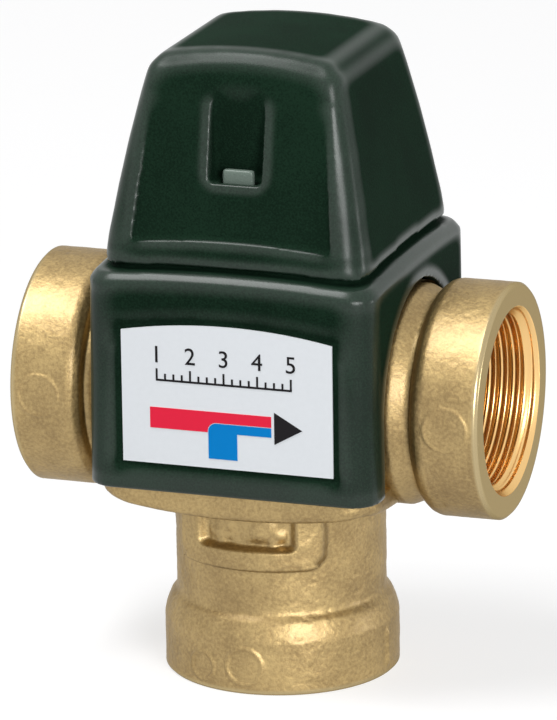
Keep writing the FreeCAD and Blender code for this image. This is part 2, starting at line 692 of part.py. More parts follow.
def cap_form(inset, low, high, stages):
    """Tapered form of the cap in straight stages, or the same form set in by a wall."""
    levels = []
    for i in range(stages + 1):
        height = low + (high - low) * i / stages
        corner = cap_corner(height) - 0.7 * inset
        levels.append(rounded_square(cap_half_width(height) - inset, cap_half_depth(height) - inset,
                                    corner, height))
    return tapered(levels)


def crown(top, bevel):
    """Space under the cap's arched top, with a bevel round its edge."""
    reach = FAR / 4
    depth = cap_half_depth(top) - bevel
    width = cap_half_width(top) - bevel
    brow_r = CAP_CROWN_R - (reach - depth)
    arch = turned_z([(0, -reach), (brow_r, -reach), (CAP_CROWN_R, -depth), (CAP_CROWN_R, depth),
                     (brow_r, reach), (0, reach)])
    arch.rotate(Vector(0, 0, 0), Vector(1, 0, 0), 90)
    arch.translate(Vector(0, 0, top - CAP_CROWN_R))
    side_z = top - CAP_CROWN_R + math.sqrt(CAP_CROWN_R ** 2 - width ** 2)
    low = side_z - (reach - width)
    sides = plate_xz([(-reach, low), (-width, side_z), (-width, top + 1), (width, top + 1),
                      (width, side_z), (reach, low)], -reach, reach)
    return arch.common(sides)


def slot_back_y(height):
    """Y of the slot's sloping back wall at a height."""
    low = -cap_half_depth(SLOT_FLOOR_Z) + SLOT_DEPTH
    high = -cap_half_depth(SLOT_TOP_Z)
    return low + (high - low) * (height - SLOT_FLOOR_Z) / (SLOT_TOP_Z - SLOT_FLOOR_Z)


def slot_tool(half_width, floor, top, set_back, reach):
    """Wedge between the cap's front and a sloping back wall."""
    outline = [
        Vector(-half_width, -reach, floor),
        Vector(-half_width, slot_back_y(floor) + set_back, floor),
        Vector(-half_width, slot_back_y(top) + set_back, top),
        Vector(-half_width, -reach, top),
    ]
    face = flat(outline)
    return face.extrude(Vector(2 * half_width, 0, 0))


def panel_tool():
    """Shallow wedge that sinks the front panel, deepest at its lower edge."""
    low = PORT_AXIS_Z + PANEL_BOTTOM_RISE
    top = PORT_AXIS_Z + PANEL_TOP_RISE
    outline = [(-PANEL_HALF_LOW, low), ((0, low + PANEL_ARCH), (PANEL_HALF_LOW, low)),
               (PANEL_HALF_TOP, top), (-PANEL_HALF_TOP, top)]
    window = plate_xz(outline, -FAR / 4, 0)
    low_y = -cap_half_depth(low) + PANEL_DEPTH
    top_y = -cap_half_depth(top)
    section = [Vector(-FAR / 4, low_y, low), Vector(-FAR / 4, top_y, top),
               Vector(-FAR / 4, -FAR / 4, top), Vector(-FAR / 4, -FAR / 4, low)]
    front = flat(section).extrude(Vector(FAR / 2, 0, 0))
    return window.common(front)


def cap():
    """Moulded cap over the knob."""
    low = SPIGOT_TOP_Z - 6
    outer = cap_form(0, low, CAP_TOP_Z, CAP_STAGES).common(crown(CAP_TOP_Z, CAP_EDGE_BEVEL))
    outer = outer.cut(dome(COVER_CROWN_R, CAP_SEAM_Z))
    inner = cap_form(CAP_WALL, SPIGOT_TOP_Z, CAP_TOP_Z, 2)
    inner = inner.common(crown(CAP_TOP_Z - CAP_WALL, CAP_EDGE_BEVEL))
    rebate = block(SPIGOT_HALF_X + CAP_RIM_GAP, SPIGOT_HALF_Y + CAP_RIM_GAP, SPIGOT_CORNER,
                   low - 1, SPIGOT_TOP_Z)
    pocket_low = SLOT_FLOOR_Z - SLOT_WALL
    pocket = slot_tool(SLOT_HALF_WIDTH + SLOT_WALL, pocket_low, SLOT_TOP_Z, SLOT_WALL, FAR / 4)
    shell = outer.cut(inner.cut(pocket)).cut(rebate)
    slot = slot_tool(SLOT_HALF_WIDTH, SLOT_FLOOR_Z, SLOT_TOP_Z, 0, FAR / 4)
    front = tongue_front_y() - TONGUE_GAP
    back = tongue_front_y() + TONGUE_THICKNESS + TONGUE_GAP
    way = box(-TONGUE_HALF_WIDTH - TONGUE_GAP, TONGUE_HALF_WIDTH + TONGUE_GAP, front, back,
              pocket_low - 1, SLOT_FLOOR_Z + 1)
    return shell.cut(panel_tool()).cut(slot).cut(way)


# ================================================================ bonnet and seals
def bonnet():
    """Brass headwork screwed into the casting, with the spindle's thread."""
    collar_low = DECK_TOP_Z
    body = turned_z([
        (SPINDLE_THREAD_R + THREAD_GAP, BONNET_LOW_Z),
        (BONNET_THREAD_R - THREAD_GAP, BONNET_LOW_Z),
        (BONNET_THREAD_R - THREAD_GAP, collar_low),
        (COLLAR_R, collar_low),
        (COLLAR_R, HEX_LOW_Z),
        (HUB_R, HEX_LOW_Z),
        (HUB_R, HEX_TOP_Z),
        (SPINDLE_STEM_R + 2 * THREAD_GAP, HEX_TOP_Z),
        (SPINDLE_STEM_R + 2 * THREAD_GAP, SPINDLE_ROOM_TOP_Z),
        (SPINDLE_THREAD_R + THREAD_GAP, SPINDLE_ROOM_TOP_Z),
    ])
    faces = hexagon(HEX_ACROSS_FLATS / 2, HEX_LOW_Z, HEX_TOP_Z)
    corner = HEX_ACROSS_FLATS / 2 / math.cos(math.pi / 6)
    facing = Part.makeCone(corner + 2.0, corner - 0.6, HEX_HEIGHT, Vector(0, 0, HEX_LOW_Z))
    faces = faces.common(facing).cut(tube(SPINDLE_THREAD_R + THREAD_GAP, 0, HEX_LOW_Z, SPINDLE_ROOM_TOP_Z))
    faces = faces.cut(tube(SPINDLE_STEM_R + 2 * THREAD_GAP, 0, SPINDLE_ROOM_TOP_Z, HEX_TOP_Z))
    return body.fuse(faces)


def gland():
    """Ring on the bonnet that guides the stem and carries the lug where the knob stops."""
    hub = tube(HUB_R, SPINDLE_STEM_R + 2 * THREAD_GAP, HEX_TOP_Z, HUB_TOP_Z)
    lug = box(-STOP_LUG_HALF_WIDTH, STOP_LUG_HALF_WIDTH, HUB_R - 1, STOP_LUG_OUT_R, HEX_TOP_Z, HUB_TOP_Z)
    return hub.fuse(lug)


def bonnet_seal():
    """Flat ring that seals the bonnet in the casting."""
    low = BODY_TOP_Z - SEAL_POCKET_DEPTH
    inner = BONNET_THREAD_R / math.cos(math.pi / HIDDEN_SIDES)
    return ring(SEAL_POCKET_R - THREAD_GAP, inner, low, low + 0.8 * SEAL_POCKET_DEPTH)


def stem_seal_z():
    """Lower face of the ring on the spindle's stem."""
    return (SPINDLE_ROOM_TOP_Z + HUB_TOP_Z - STEM_SEAL_SIDE) / 2


def stem_seal():
    """Square ring that seals the spindle's stem in the bonnet."""
    outer = SPINDLE_STEM_R + THREAD_GAP
    return ring(outer, outer - STEM_SEAL_SIDE, stem_seal_z(), stem_seal_z() + STEM_SEAL_SIDE)


# ================================================================ spindle, knob
def spindle():
    """Screwed spindle, hollow below for the overload spring, with flats for the knob."""
    body = turned_z([
        (0, SPINDLE_LOW_Z),
        (SPINDLE_THREAD_R, SPINDLE_LOW_Z),
        (SPINDLE_THREAD_R, SPINDLE_SHOULDER_Z),
        (SPINDLE_STEM_R, SPINDLE_SHOULDER_Z),
        (SPINDLE_STEM_R, SPINDLE_TOP_Z),
        (0, SPINDLE_TOP_Z),
    ])
    body = body.cut(ring(SPINDLE_BORE_R, 0, SPINDLE_LOW_Z, SPINDLE_BORE_TOP_Z))
    groove_r = SPINDLE_STEM_R - STEM_SEAL_SIDE
    groove = ring(SPINDLE_STEM_R + 1, groove_r, stem_seal_z() - THREAD_GAP,
                  stem_seal_z() + STEM_SEAL_SIDE + THREAD_GAP)
    body = body.cut(groove)
    clip_groove = ring(SPINDLE_BORE_R + CLIP_GROOVE, 0, CLIP_LOW_Z, CLIP_LOW_Z + CLIP_THICKNESS)
    screw_hole = tube(SCREW_R, 0, SPINDLE_TOP_Z - SCREW_LENGTH, SPINDLE_TOP_Z + 1)
    flats = box(-SPINDLE_FLAT, SPINDLE_FLAT, -FAR, FAR, KNOB_LOW_Z, SPINDLE_TOP_Z + 1)
    end = tube(SPINDLE_STEM_R + 1, 0, KNOB_LOW_Z, SPINDLE_TOP_Z + 1).cut(flats)
    return body.cut(clip_groove).cut(screw_hole).cut(end)


def knob():
    """Temperature knob with a fluted grip and a scale skirt."""
    grip_low = KNOB_LOW_Z + KNOB_SKIRT_HEIGHT
    head_low = KNOB_TOP_Z - SCREW_HEAD_HEIGHT
    shell = turned_z([
        (0, KNOB_LOW_Z),
        (KNOB_SKIRT_R, KNOB_LOW_Z),
        (KNOB_SKIRT_R, grip_low),
        (KNOB_R, grip_low),
        (KNOB_R, KNOB_TOP_Z - KNOB_BEVEL),
        (KNOB_R - KNOB_BEVEL, KNOB_TOP_Z),
        (0, KNOB_TOP_Z),
    ])
    hollow = ring(KNOB_R - KNOB_WALL, KNOB_HUB_R, KNOB_LOW_Z, head_low - KNOB_WALL)
    flats = box(-SPINDLE_FLAT - THREAD_GAP, SPINDLE_FLAT + THREAD_GAP, -FAR, FAR, KNOB_LOW_Z, head_low)
    stem_hole = tube(SPINDLE_STEM_R + THREAD_GAP, 0, KNOB_LOW_Z, head_low).common(flats)
    head_hole = tube(SCREW_HEAD_R + 4 * THREAD_GAP, 0, head_low, KNOB_TOP_Z)
    shell = shell.cut(hollow).cut(stem_hole).cut(head_hole)
    for i in range(KNOB_FLUTES):
        angle = 2 * math.pi * (i + 0.5) / KNOB_FLUTES
        place = Vector((KNOB_R + 0.4) * math.cos(angle), (KNOB_R + 0.4) * math.sin(angle), grip_low + 0.6)
        shell = shell.cut(Part.makeCylinder(FLUTE_R, KNOB_HEIGHT, place))
    pointer = box(-KNOB_POINTER_HALF_WIDTH, KNOB_POINTER_HALF_WIDTH, -KNOB_R + 0.6, -SCREW_HEAD_R - 1.5,
                  KNOB_TOP_Z - 0.5, KNOB_TOP_Z + 1)
    pin_hole = Part.makeCylinder(STOP_PIN_RADIUS + THREAD_GAP, STOP_PIN_DEPTH,
                                 Vector(0, -STOP_PIN_AT, KNOB_LOW_Z))
    return shell.cut(pointer).cut(pin_hole)


def stop_pin():
    """Steel pin in the knob that meets the gland's lug at both ends of its turn."""
    return Part.makeCylinder(STOP_PIN_RADIUS, STOP_PIN_DROP + STOP_PIN_DEPTH,
                             Vector(0, -STOP_PIN_AT, KNOB_LOW_Z - STOP_PIN_DROP))


def knob_screw():
    """Pan-head screw that holds the knob on the spindle."""
    shank_low = SPINDLE_TOP_Z - SCREW_LENGTH + 0.5
    screw = turned_z([
        (0, shank_low),
        (SCREW_R, shank_low),
        (SCREW_R, SPINDLE_TOP_Z),
        (SCREW_HEAD_R, SPINDLE_TOP_Z),
        (SCREW_HEAD_R, KNOB_TOP_Z - 0.6),
        (SCREW_HEAD_R - 0.6, KNOB_TOP_Z),
        (0, KNOB_TOP_Z),
    ])
    slot = box(-0.45, 0.45, -FAR, FAR, KNOB_TOP_Z - 1.1, KNOB_TOP_Z + 1)
    return screw.cut(slot)


# ================================================================ overload parts
def overload_clip():
    """Snap ring that keeps the cup in the spindle."""
    return open_ring(SPINDLE_BORE_R + CLIP_GROOVE - THREAD_GAP, CLIP_INNER_R, CLIP_LOW_Z, CLIP_THICKNESS)


def open_ring(outer, inner, low, thickness):
    """Snap ring with a gap towards the back."""
    whole = ring(outer, inner, low, low + thickness)
    half = math.radians(SNAP_OPEN_ANGLE / 2)
    reach = 2 * outer
    corners = [Vector(0, 0, low), Vector(reach * math.sin(half), reach * math.cos(half), low),
               Vector(-reach * math.sin(half), reach * math.cos(half), low)]
    gap = flat(corners).extrude(Vector(0, 0, thickness))
    return whole.cut(gap)


def overload_cup():
    """Spring-loaded cup that the thermostat's pin pushes on."""
    top = CUP_LOW_Z + CUP_THICKNESS
    cup = ring(CUP_R, 0, CUP_LOW_Z, top)
    return cup.fuse(ring(CUP_SPIGOT_R, 0, top, top + CUP_SPIGOT_HEIGHT))


def overload_spring():
    """Spring that gives way if the pin pushes further than the discs can travel."""
    return coil(OVERLOAD_COIL_R, OVERLOAD_WIRE_R, OVERLOAD_TURNS, CUP_LOW_Z + CUP_THICKNESS,
                SPINDLE_BORE_TOP_Z)


# ================================================================ shuttle
def thermostat_capsule():
    """Wax capsule with its guide above and its stud below."""
    stud_top = COLD_SEAL_Z + DISC_SEAL_THICKNESS
    clip_top = DISC_CLIP_Z + CLIP_THICKNESS
    guide_top = clip_top + GUIDE_LENGTH + 0.5
    body = ring(STUD_R, 0, NUT_Z - 0.6, stud_top)
    for radius, low, high in (
        (STUD_SHOULDER_R, stud_top, COLD_SEAT_Z + CAPSULE_FLOOR_GAP),
        (CAPSULE_R, COLD_SEAT_Z + CAPSULE_FLOOR_GAP, HOT_SEAL_Z),
        (CAPSULE_NECK_R, HOT_SEAL_Z, DISC_CLIP_Z),
        (CAPSULE_NECK_R - 0.6, DISC_CLIP_Z, clip_top),
        (CAPSULE_NECK_R, clip_top, clip_top + 0.5),
        (GUIDE_R, clip_top + 0.5, guide_top),
    ):
        body = body.fuse(ring(radius, 0, low, high))
    return body.cut(ring(PIN_R + THREAD_GAP, 0, guide_top - PIN_DEPTH - 1, guide_top))


def thermostat_pin():
    """Pin pushed out of the capsule by the warm wax."""
    guide_top = DISC_CLIP_Z + CLIP_THICKNESS + GUIDE_LENGTH + 0.5
    return ring(PIN_R, 0, guide_top - PIN_DEPTH + 1, CUP_LOW_Z)


def hot_seal():
    """Rubber ring that closes on the hot seat."""
    return ring(DISC_SEAL_R, CAPSULE_NECK_R + BALANCE_FIT, HOT_SEAL_Z, HOT_DISC_Z)


def hot_disc():
    """Metal disc above the hot seat."""
    return ring(DISC_R, CAPSULE_NECK_R + BALANCE_FIT, HOT_DISC_Z, DISC_CLIP_Z)


def hot_disc_clip():
    """Snap ring that holds the hot disc on the capsule."""
    return open_ring(DISC_CLIP_R, CAPSULE_NECK_R - 0.6, DISC_CLIP_Z, CLIP_THICKNESS)


def cold_seal():
    """Rubber ring that closes on the cold seat."""
    return ring(DISC_SEAL_R, STUD_R + BALANCE_FIT, COLD_SEAL_Z, COLD_SEAL_Z + DISC_SEAL_THICKNESS)


def cold_disc():
    """Metal disc below the cold seat."""
    return ring(DISC_R, STUD_R + BALANCE_FIT, COLD_DISC_Z, COLD_SEAL_Z)


def cold_nut():
    """Nut that clamps the cold disc on the capsule's stud."""
    return hexagon(NUT_HALF_FLATS, NUT_Z, COLD_DISC_Z).cut(ring(STUD_R + BALANCE_FIT, 0, NUT_Z, COLD_DISC_Z))


# ================================================================ return spring
def snap_ring():
    """Snap ring in the casting that carries the spring's seat."""
    return open_ring(SNAP_GROOVE_R - 2 * THREAD_GAP, SNAP_INNER_R, SNAP_Z, SNAP_THICKNESS)


def spring_seat():
    """Open ring plate under the return spring, with spokes so that water can pass."""
    top = SPRING_LOW_Z
    outer = COLD_CHAMBER_R - 2 * THREAD_GAP
    rim = ring(outer, outer - SPRING_SEAT_RIM, SPRING_SEAT_Z, top)
    inner_ring = ring(SPRING_SEAT_RING_OUT_R, SPRING_SEAT_RING_IN_R, SPRING_SEAT_Z, top)
    spokes = []
    for i in range(SPRING_SEAT_SPOKES):
        spoke = box(SPRING_SEAT_RING_OUT_R - 0.8, outer - 0.5 * SPRING_SEAT_RIM,
                    -SPOKE_WIDTH / 2, SPOKE_WIDTH / 2, SPRING_SEAT_Z, top)
        spoke.rotate(Vector(0, 0, 0), Vector(0, 0, 1), 30 + 360 * i / SPRING_SEAT_SPOKES)
        spokes.append(spoke)
    return rim.multiFuse([inner_ring] + spokes)


def return_spring():
    """Spring that pushes the shuttle up against the pin."""
    return coil(RETURN_COIL_R, RETURN_WIRE_R, RETURN_TURNS, SPRING_LOW_Z, COLD_DISC_Z)


PIECES = {
    "valve_body": valve_body,
    "lower_cover": lower_cover,
    "label": label,
    "label_hot_bar": label_hot_bar,
    "label_cold_bar": label_cold_bar,
    "label_arrow": label_arrow,
    "cap": cap,
    "bonnet": bonnet,
    "gland": gland,
    "bonnet_seal": bonnet_seal,
    "stem_seal": stem_seal,
    "spindle": spindle,
    "knob": knob,
    "stop_pin": stop_pin,
    "knob_screw": knob_screw,
    "overload_clip": overload_clip,
    "overload_cup": overload_cup,
    "overload_spring": overload_spring,
    "thermostat_capsule": thermostat_capsule,
    "thermostat_pin": thermostat_pin,
    "hot_seal": hot_seal,
    "hot_disc": hot_disc,
    "hot_disc_clip": hot_disc_clip,
    "cold_seal": cold_seal,
    "cold_disc": cold_disc,
    "cold_nut": cold_nut,
    "snap_ring": snap_ring,
    "spring_seat": spring_seat,
    "return_spring": return_spring,
}

os.makedirs("parts", exist_ok=True)
for name, make in PIECES.items():
    shape = make().removeSplitter()
    shape.exportStep(f"parts/{name}.step")
    bounds = shape.BoundBox
    print(f"{name:20s} solids {len(shape.Solids)} valid {shape.isValid()} volume {shape.Volume:9.1f} "
          f"x {bounds.XMin:.2f}..{bounds.XMax:.2f} y {bounds.YMin:.2f}..{bounds.YMax:.2f} "
          f"z {bounds.ZMin:.2f}..{bounds.ZMax:.2f}")
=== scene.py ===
# %% [markdown]
# # Dressing a thermostatic mixing valve
# A mixing valve blends hot and cold water to one safe temperature. This one is a sand-cast brass
# body with three threaded ports, clad in two dark green mouldings. The solid model fixes every
# size; this lesson gives each visible surface the shape and finish that the real one has.

# %% Load the frame
import json
import math
import bpy
import numpy as np
from mathutils import Matrix, Vector


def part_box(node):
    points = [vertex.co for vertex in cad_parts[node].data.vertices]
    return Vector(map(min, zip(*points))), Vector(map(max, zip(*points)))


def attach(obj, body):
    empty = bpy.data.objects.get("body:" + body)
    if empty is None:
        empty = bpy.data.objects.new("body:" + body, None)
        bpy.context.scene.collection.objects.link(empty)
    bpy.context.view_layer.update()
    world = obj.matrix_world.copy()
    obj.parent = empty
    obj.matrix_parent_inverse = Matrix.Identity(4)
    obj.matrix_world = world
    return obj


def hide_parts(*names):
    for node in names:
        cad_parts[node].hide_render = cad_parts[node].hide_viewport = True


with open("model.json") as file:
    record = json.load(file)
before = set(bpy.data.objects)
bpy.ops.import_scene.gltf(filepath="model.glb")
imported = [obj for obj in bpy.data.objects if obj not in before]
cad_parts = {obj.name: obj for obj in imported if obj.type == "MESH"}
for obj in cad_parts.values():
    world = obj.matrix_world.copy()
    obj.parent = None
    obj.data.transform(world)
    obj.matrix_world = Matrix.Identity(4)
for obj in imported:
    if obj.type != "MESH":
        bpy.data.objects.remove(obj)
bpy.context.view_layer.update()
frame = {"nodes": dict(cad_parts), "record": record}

MM = 0.001
record = frame["record"]

# %% [markdown]
# ## Shader sums
# A finish is a chain of small sums, such as a colour that darkens where the grain dips. Wiring
# each sum by hand hides the idea, so a small class wraps a socket, and writing `1 - mask` adds
# the Math node for it. Every other node, of a finish or of the world, comes from one method.

# %% Sockets that can be added and multiplied
class Wire:
    """A value that flows between shader nodes."""

    def __init__(self, nodes, socket):
        self.nodes = nodes
        self.socket = socket

    def _sum(self, operation, first, second):
        return self.nodes.node("ShaderNodeMath", {"operation": operation}, {0: first, 1: second})

    def __add__(self, other):
        return self._sum("ADD", self, other)

    def __sub__(self, other):
        return self._sum("SUBTRACT", self, other)

    def __rsub__(self, other):
        return self._sum("SUBTRACT", other, self)

    def __mul__(self, other):
        return self._sum("MULTIPLY", self, other)

    def or_more(self, other):
        """The larger of two values."""
        return self._sum("MAXIMUM", self, other)

    __radd__ = __add__
    __rmul__ = __mul__


# %% Node trees and finishes
class Nodes:
    """A node tree that is built up node by node."""

    def __init__(self, tree):
        self.tree = tree

    def node(self, kind, settings=None, inputs=None, output=0):
        """Adds a node: first its settings, then the values or links of its sockets."""
        made = self.tree.nodes.new(kind)
        for key, value in (settings or {}).items():
            setattr(made, key, value)
        for key, value in (inputs or {}).items():
            self.feed(made.inputs[key], value)
        return Wire(self, made.outputs[output])

    def feed(self, socket, value):
        """Links a wire to a socket, or writes a number or colour on it."""
        if isinstance(value, Wire):
            self.tree.links.new(value.socket, socket)
        else:
            socket.default_value = value


class Finish(Nodes):
    """A material, with the steps that the finishes share."""

    def __init__(self, name):
        self.material = bpy.data.materials.new(name)
        self.material.use_nodes = True
        super().__init__(self.material.node_tree)
        self.shader = self.tree.nodes["Principled BSDF"]

    def surface(self, **values):
        """Sets the shader's own sockets; an underscore stands for the space in a socket's name."""
        for name, value in values.items():
            self.feed(self.shader.inputs[name.replace("_", " ")], value)

    def place(self):
        """Where a point lies on the object, in metres."""
        return self.node("ShaderNodeTexCoord", output="Object")

    def grain(self, size, detail=2.0, roughness=0.5):
        """Random hills about `size` metres apart, from 0 to 1."""
        inputs = {"Vector": self.place(), "Scale": 1 / size, "Detail": detail,
                  "Roughness": roughness}
        return self.node("ShaderNodeTexNoise", None, inputs)

    def window(self, value, low, high):
        """0 below low, 1 above high, and smooth between them."""
        settings = {"interpolation_type": "SMOOTHSTEP"}
        inputs = {"Value": value, "From Min": low, "From Max": high}
        return self.node("ShaderNodeMapRange", settings, inputs)

    def blend(self, factor, first, second):
        """A colour between two colours."""
        inputs = {"Factor": factor, 6: first, 7: second}
        return self.node("ShaderNodeMix", {"data_type": "RGBA"}, inputs, output=2)

    def mark(self, name):
        """A number kept on the mesh for each vertex."""
        return self.node("ShaderNodeAttribute", {"attribute_name": name}, output="Fac")

    def bump(self, height, depth, under=None):
        """Tilts the surface by a height; `under` is another bump that it lies on."""
        inputs = {"Height": height, "Distance": depth, "Strength": 1.0}
        if under is not None:
            inputs["Normal"] = under
        return self.node("ShaderNodeBump", None, inputs)


# %% Colours
def paint(red, green, blue):
    """A colour from its 0 to 255 screen values."""
    parts = [value / 255 for value in (red, green, blue)]
    return [p / 12.92 if p <= 0.04045 else ((p + 0.055) / 1.055) ** 2.4 for p in parts] + [1.0]


def shaded(colour, share):
    """The same colour with its light multiplied by a share."""
    return [min(1.0, share * part) for part in colour[:3]] + [1.0]


# %% [markdown]
# ## Cast and turned brass
# The body is cast in sand and blasted, so its skin is matte, lumpy and a little uneven in
# colour. Port faces and threads are cut afterwards and shine with fine tool marks. One finish
# does both: each vertex says whether it was machined.

# %% Brass
def brass_finish(name, colour, dark, cut_colour, shine):
    """Brass whose cut faces, marked on the mesh, are brighter and smoother than the rest."""
    finish = Finish(name)
    cut = finish.mark("machined")
    sand = finish.grain(0.5 * MM, 3.0, 0.65)
    patches = finish.grain(6 * MM, 2.0, 0.5)
    tone = finish.blend(finish.window(patches * 0.4 + sand * 0.6, 0.32, 0.68), dark, colour)
    tone = finish.blend(cut, tone, cut_colour)
    lines = finish.grain(0.12 * MM, 1.0, 0.5)
    depth = finish.bump(sand * (1 - cut) + lines * cut * 0.06, 0.07 * MM)
    finish.surface(Base_Color=tone, Metallic=1.0, Normal=depth,
                   Roughness=(sand * 0.14 + shine) * (1 - cut) + cut * 0.27)
    finish.surface(Coat_Weight=(1 - cut) * 0.45, Coat_Roughness=0.4, Coat_IOR=1.8,
                   Specular_Tint=[0.55, 0.5, 0.42, 1])
    return finish.material


sand_colour, dip_colour = paint(178, 152, 98), paint(140, 115, 68)
cast_brass = brass_finish("cast_brass", sand_colour, dip_colour, paint(184, 166, 126), 0.4)
thread_brass = brass_finish("thread_brass", sand_colour, dip_colour, paint(240, 198, 134), 0.4)


# %% Other metals
def turned_finish(name, colour, size, roughness):
    """Metal cut on a lathe, with fine marks left by the tool."""
    finish = Finish(name)
    marks = finish.grain(size, 2.0, 0.6)
    smears = finish.grain(9 * MM, 2.0, 0.5)
    finish.surface(Base_Color=finish.blend(smears, colour, shaded(colour, 0.8)), Metallic=1.0,
                   Roughness=marks * 0.12 + roughness, Normal=finish.bump(marks, 0.006 * MM))
    return finish.material


turned_brass = turned_finish("turned_brass", paint(226, 190, 120), 0.15 * MM, 0.2)
stainless = turned_finish("stainless", paint(200, 200, 198), 0.2 * MM, 0.25)
copper = turned_finish("copper", paint(212, 142, 108), 0.25 * MM, 0.28)
print("metals ready")

# %% [markdown]
# ## Green mouldings
# The covers are moulded in dark green plastic with a spark-eroded grain. It is nearly black in
# the middle of a face. Rounded edges, where handling polishes the grain, get a clear coat and a
# painted highlight that pales the colour. The mesh carries a number for how strongly each vertex
# bulges, which sets both.

# %% Plastics
def moulded_finish(name, colour, painted_sheen_colour, roughness, painted_sheen_above=None):
    """Matte moulded plastic with grain, a coat on worn edges, painted edge highlights, and painted
    highlights above a height.
    """
    finish = Finish(name)
    spark = finish.grain(0.28 * MM, 2.0, 0.55)
    cloud = finish.grain(12 * MM, 2.0, 0.5)
    wear_and_sheen = finish.mark("edge")
    shade = shaded(colour, 0.6)
    base = finish.blend(finish.window(cloud * 0.4 + spark * 0.6, 0.4, 0.62), shade, colour)
    # Painted highlight: the colour is painted paler along bulging edges, where the coat also
    # reflects the lamps.
    base = finish.blend(wear_and_sheen * spark * 0.12, base, painted_sheen_colour)
    # Painted highlight: above a height the colour is painted pale, as if lit from above.
    if painted_sheen_above is not None:
        height = finish.node("ShaderNodeSeparateXYZ", None, {"Vector": finish.place()}, output=2)
        painted_tongue_sheen = finish.window(height, painted_sheen_above - MM, painted_sheen_above + MM) * 0.9
        base = finish.blend(painted_tongue_sheen, base, painted_sheen_colour)
    finish.surface(Base_Color=base, Roughness=spark * 0.14 + cloud * 0.06 + roughness,
                   Normal=finish.bump(spark, 0.03 * MM), Coat_Weight=wear_and_sheen)
    finish.surface(Specular_IOR_Level=0.014, Coat_Roughness=0.28, Coat_IOR=1.36)
    return finish.material


# Each moulding's second colour is the painted highlight for its edges.
dark_green, painted_sheen_green = paint(23, 43, 31), paint(104, 118, 109)
# The tongue's top gets a painted highlight above this height.
tongue_from = 70 * MM    # only the latch tongue of the lower cover stands higher
cap_green = moulded_finish("green_moulding", dark_green, painted_sheen_green, 0.56)
cover_green = moulded_finish("cover_moulding", dark_green, painted_sheen_green, 0.56, tongue_from)
knob_black = moulded_finish("knob_moulding", paint(30, 31, 33), paint(92, 94, 94), 0.42)
rubber = moulded_finish("seal_rubber", paint(22, 22, 22), paint(40, 40, 40), 0.6)
print("mouldings' finishes ready")

# %% [markdown]
# ## Printing and the list of finishes
# The label is a smooth film with three inks. The solid model names a finish for each of its
# nodes, so one list from that name to a material dresses every node.

# %% Printed films
def film_finish(name, colour):
    """Printed film: smooth, satin, with the faintest unevenness of ink."""
    finish = Finish(name)
    ink = finish.grain(0.9 * MM, 3.0, 0.6)
    finish.surface(Base_Color=finish.blend(ink, colour, shaded(colour, 1.06)),
                   Roughness=ink * 0.1 + 0.34, Normal=finish.bump(ink, 0.004 * MM))
    finish.surface(Specular_IOR_Level=0.12)
    return finish.material


# %% Which finish each node has
finish_of = {
    "cast_brass": cast_brass,
    "turned_brass": turned_brass,
    "stainless": stainless,
    "copper": copper,
    "cover_green": cover_green,
    "cap_green": cap_green,
    "knob_plastic": knob_black,
    "seal_rubber": rubber,
    "label_grey": film_finish("label_film", paint(222, 226, 230)),
    "print_red": film_finish("red_ink", paint(226, 38, 66)),
    "print_blue": film_finish("blue_ink", paint(0, 124, 198)),
    "print_black": film_finish("black_ink", paint(24, 22, 24)),
}
for row in record["subparts"]:
    frame["nodes"][row["node"]].material_slots[0].material = finish_of[row["material_slot"]]
print("finishes given to", len(record["subparts"]), "nodes")

# %% [markdown]
# ## Meshes from nets of points
# A turned or cast skin is easiest as a net: rows run along its outline and columns run round its
# axis. Fine random hills pushed into that net give the real bumps of sand casting.

# %% Random hills
def hills(points, size, seed):
    """Smooth random heights from -1 to 1, about `size` apart, at an array of points in mm."""
    cells = 32
    table = np.random.default_rng(seed).uniform(-1, 1, (cells, cells, cells))
    spot = points / size
    corner = np.floor(spot).astype(int)
    share = spot - corner
    share = share * share * (3 - 2 * share)
    total = 0
    for near in np.ndindex(2, 2, 2):
        weight = np.prod(np.where(near, share, 1 - share), axis=-1)
        place = (corner + near) % cells
        total = total + weight * table[place[..., 0], place[..., 1], place[..., 2]]
    return total


# %% Numbers kept on a mesh
def read(rows, key, width, kind=float):
    """A mesh's numbers as an array, with `width` of them for each vertex or edge."""
    values = np.zeros(len(rows) * width, kind)
    rows.foreach_get(key, values)
    return values.reshape(-1, width)


def keep_marks(mesh, name, values):
    """Keeps one number for each vertex, under the name that a finish reads."""
    marks = mesh.attributes.new(name, "FLOAT", "POINT")
    marks.data.foreach_set("value", values.astype(np.float32).ravel())


# %% Outlines, nets and pieces
def resample(outline, longest):
    """Points no further apart than `longest` along an outline of straight runs."""
    points = [outline[0]]
    for start, end in zip(outline, outline[1:]):
        count = max(1, math.ceil(math.dist(start, end) / longest))
        for i in range(1, count + 1):
            points.append(tuple(a + (b - a) * i / count for a, b in zip(start, end)))
    return np.array(points)


def net(name, points, material, body, machined=None, outward=True):
    """Mesh object from a net of points in mm, closed round its columns."""
    rows, around = points.shape[:2]
    index = np.arange(rows * around).reshape(rows, around)
    beside = np.roll(index, -1, axis=1)
    quads = np.stack([index[:-1], beside[:-1], beside[1:], index[1:]], axis=-1).reshape(-1, 4)
    if not outward:
        quads = quads[:, ::-1]
    mesh = bpy.data.meshes.new(name)
    mesh.from_pydata((points.reshape(-1, 3) * MM).tolist(), [], quads.tolist())
    if machined is not None:
        keep_marks(mesh, "machined", np.broadcast_to(machined, (rows, around)))
    return finish_piece(name, mesh, material, body)


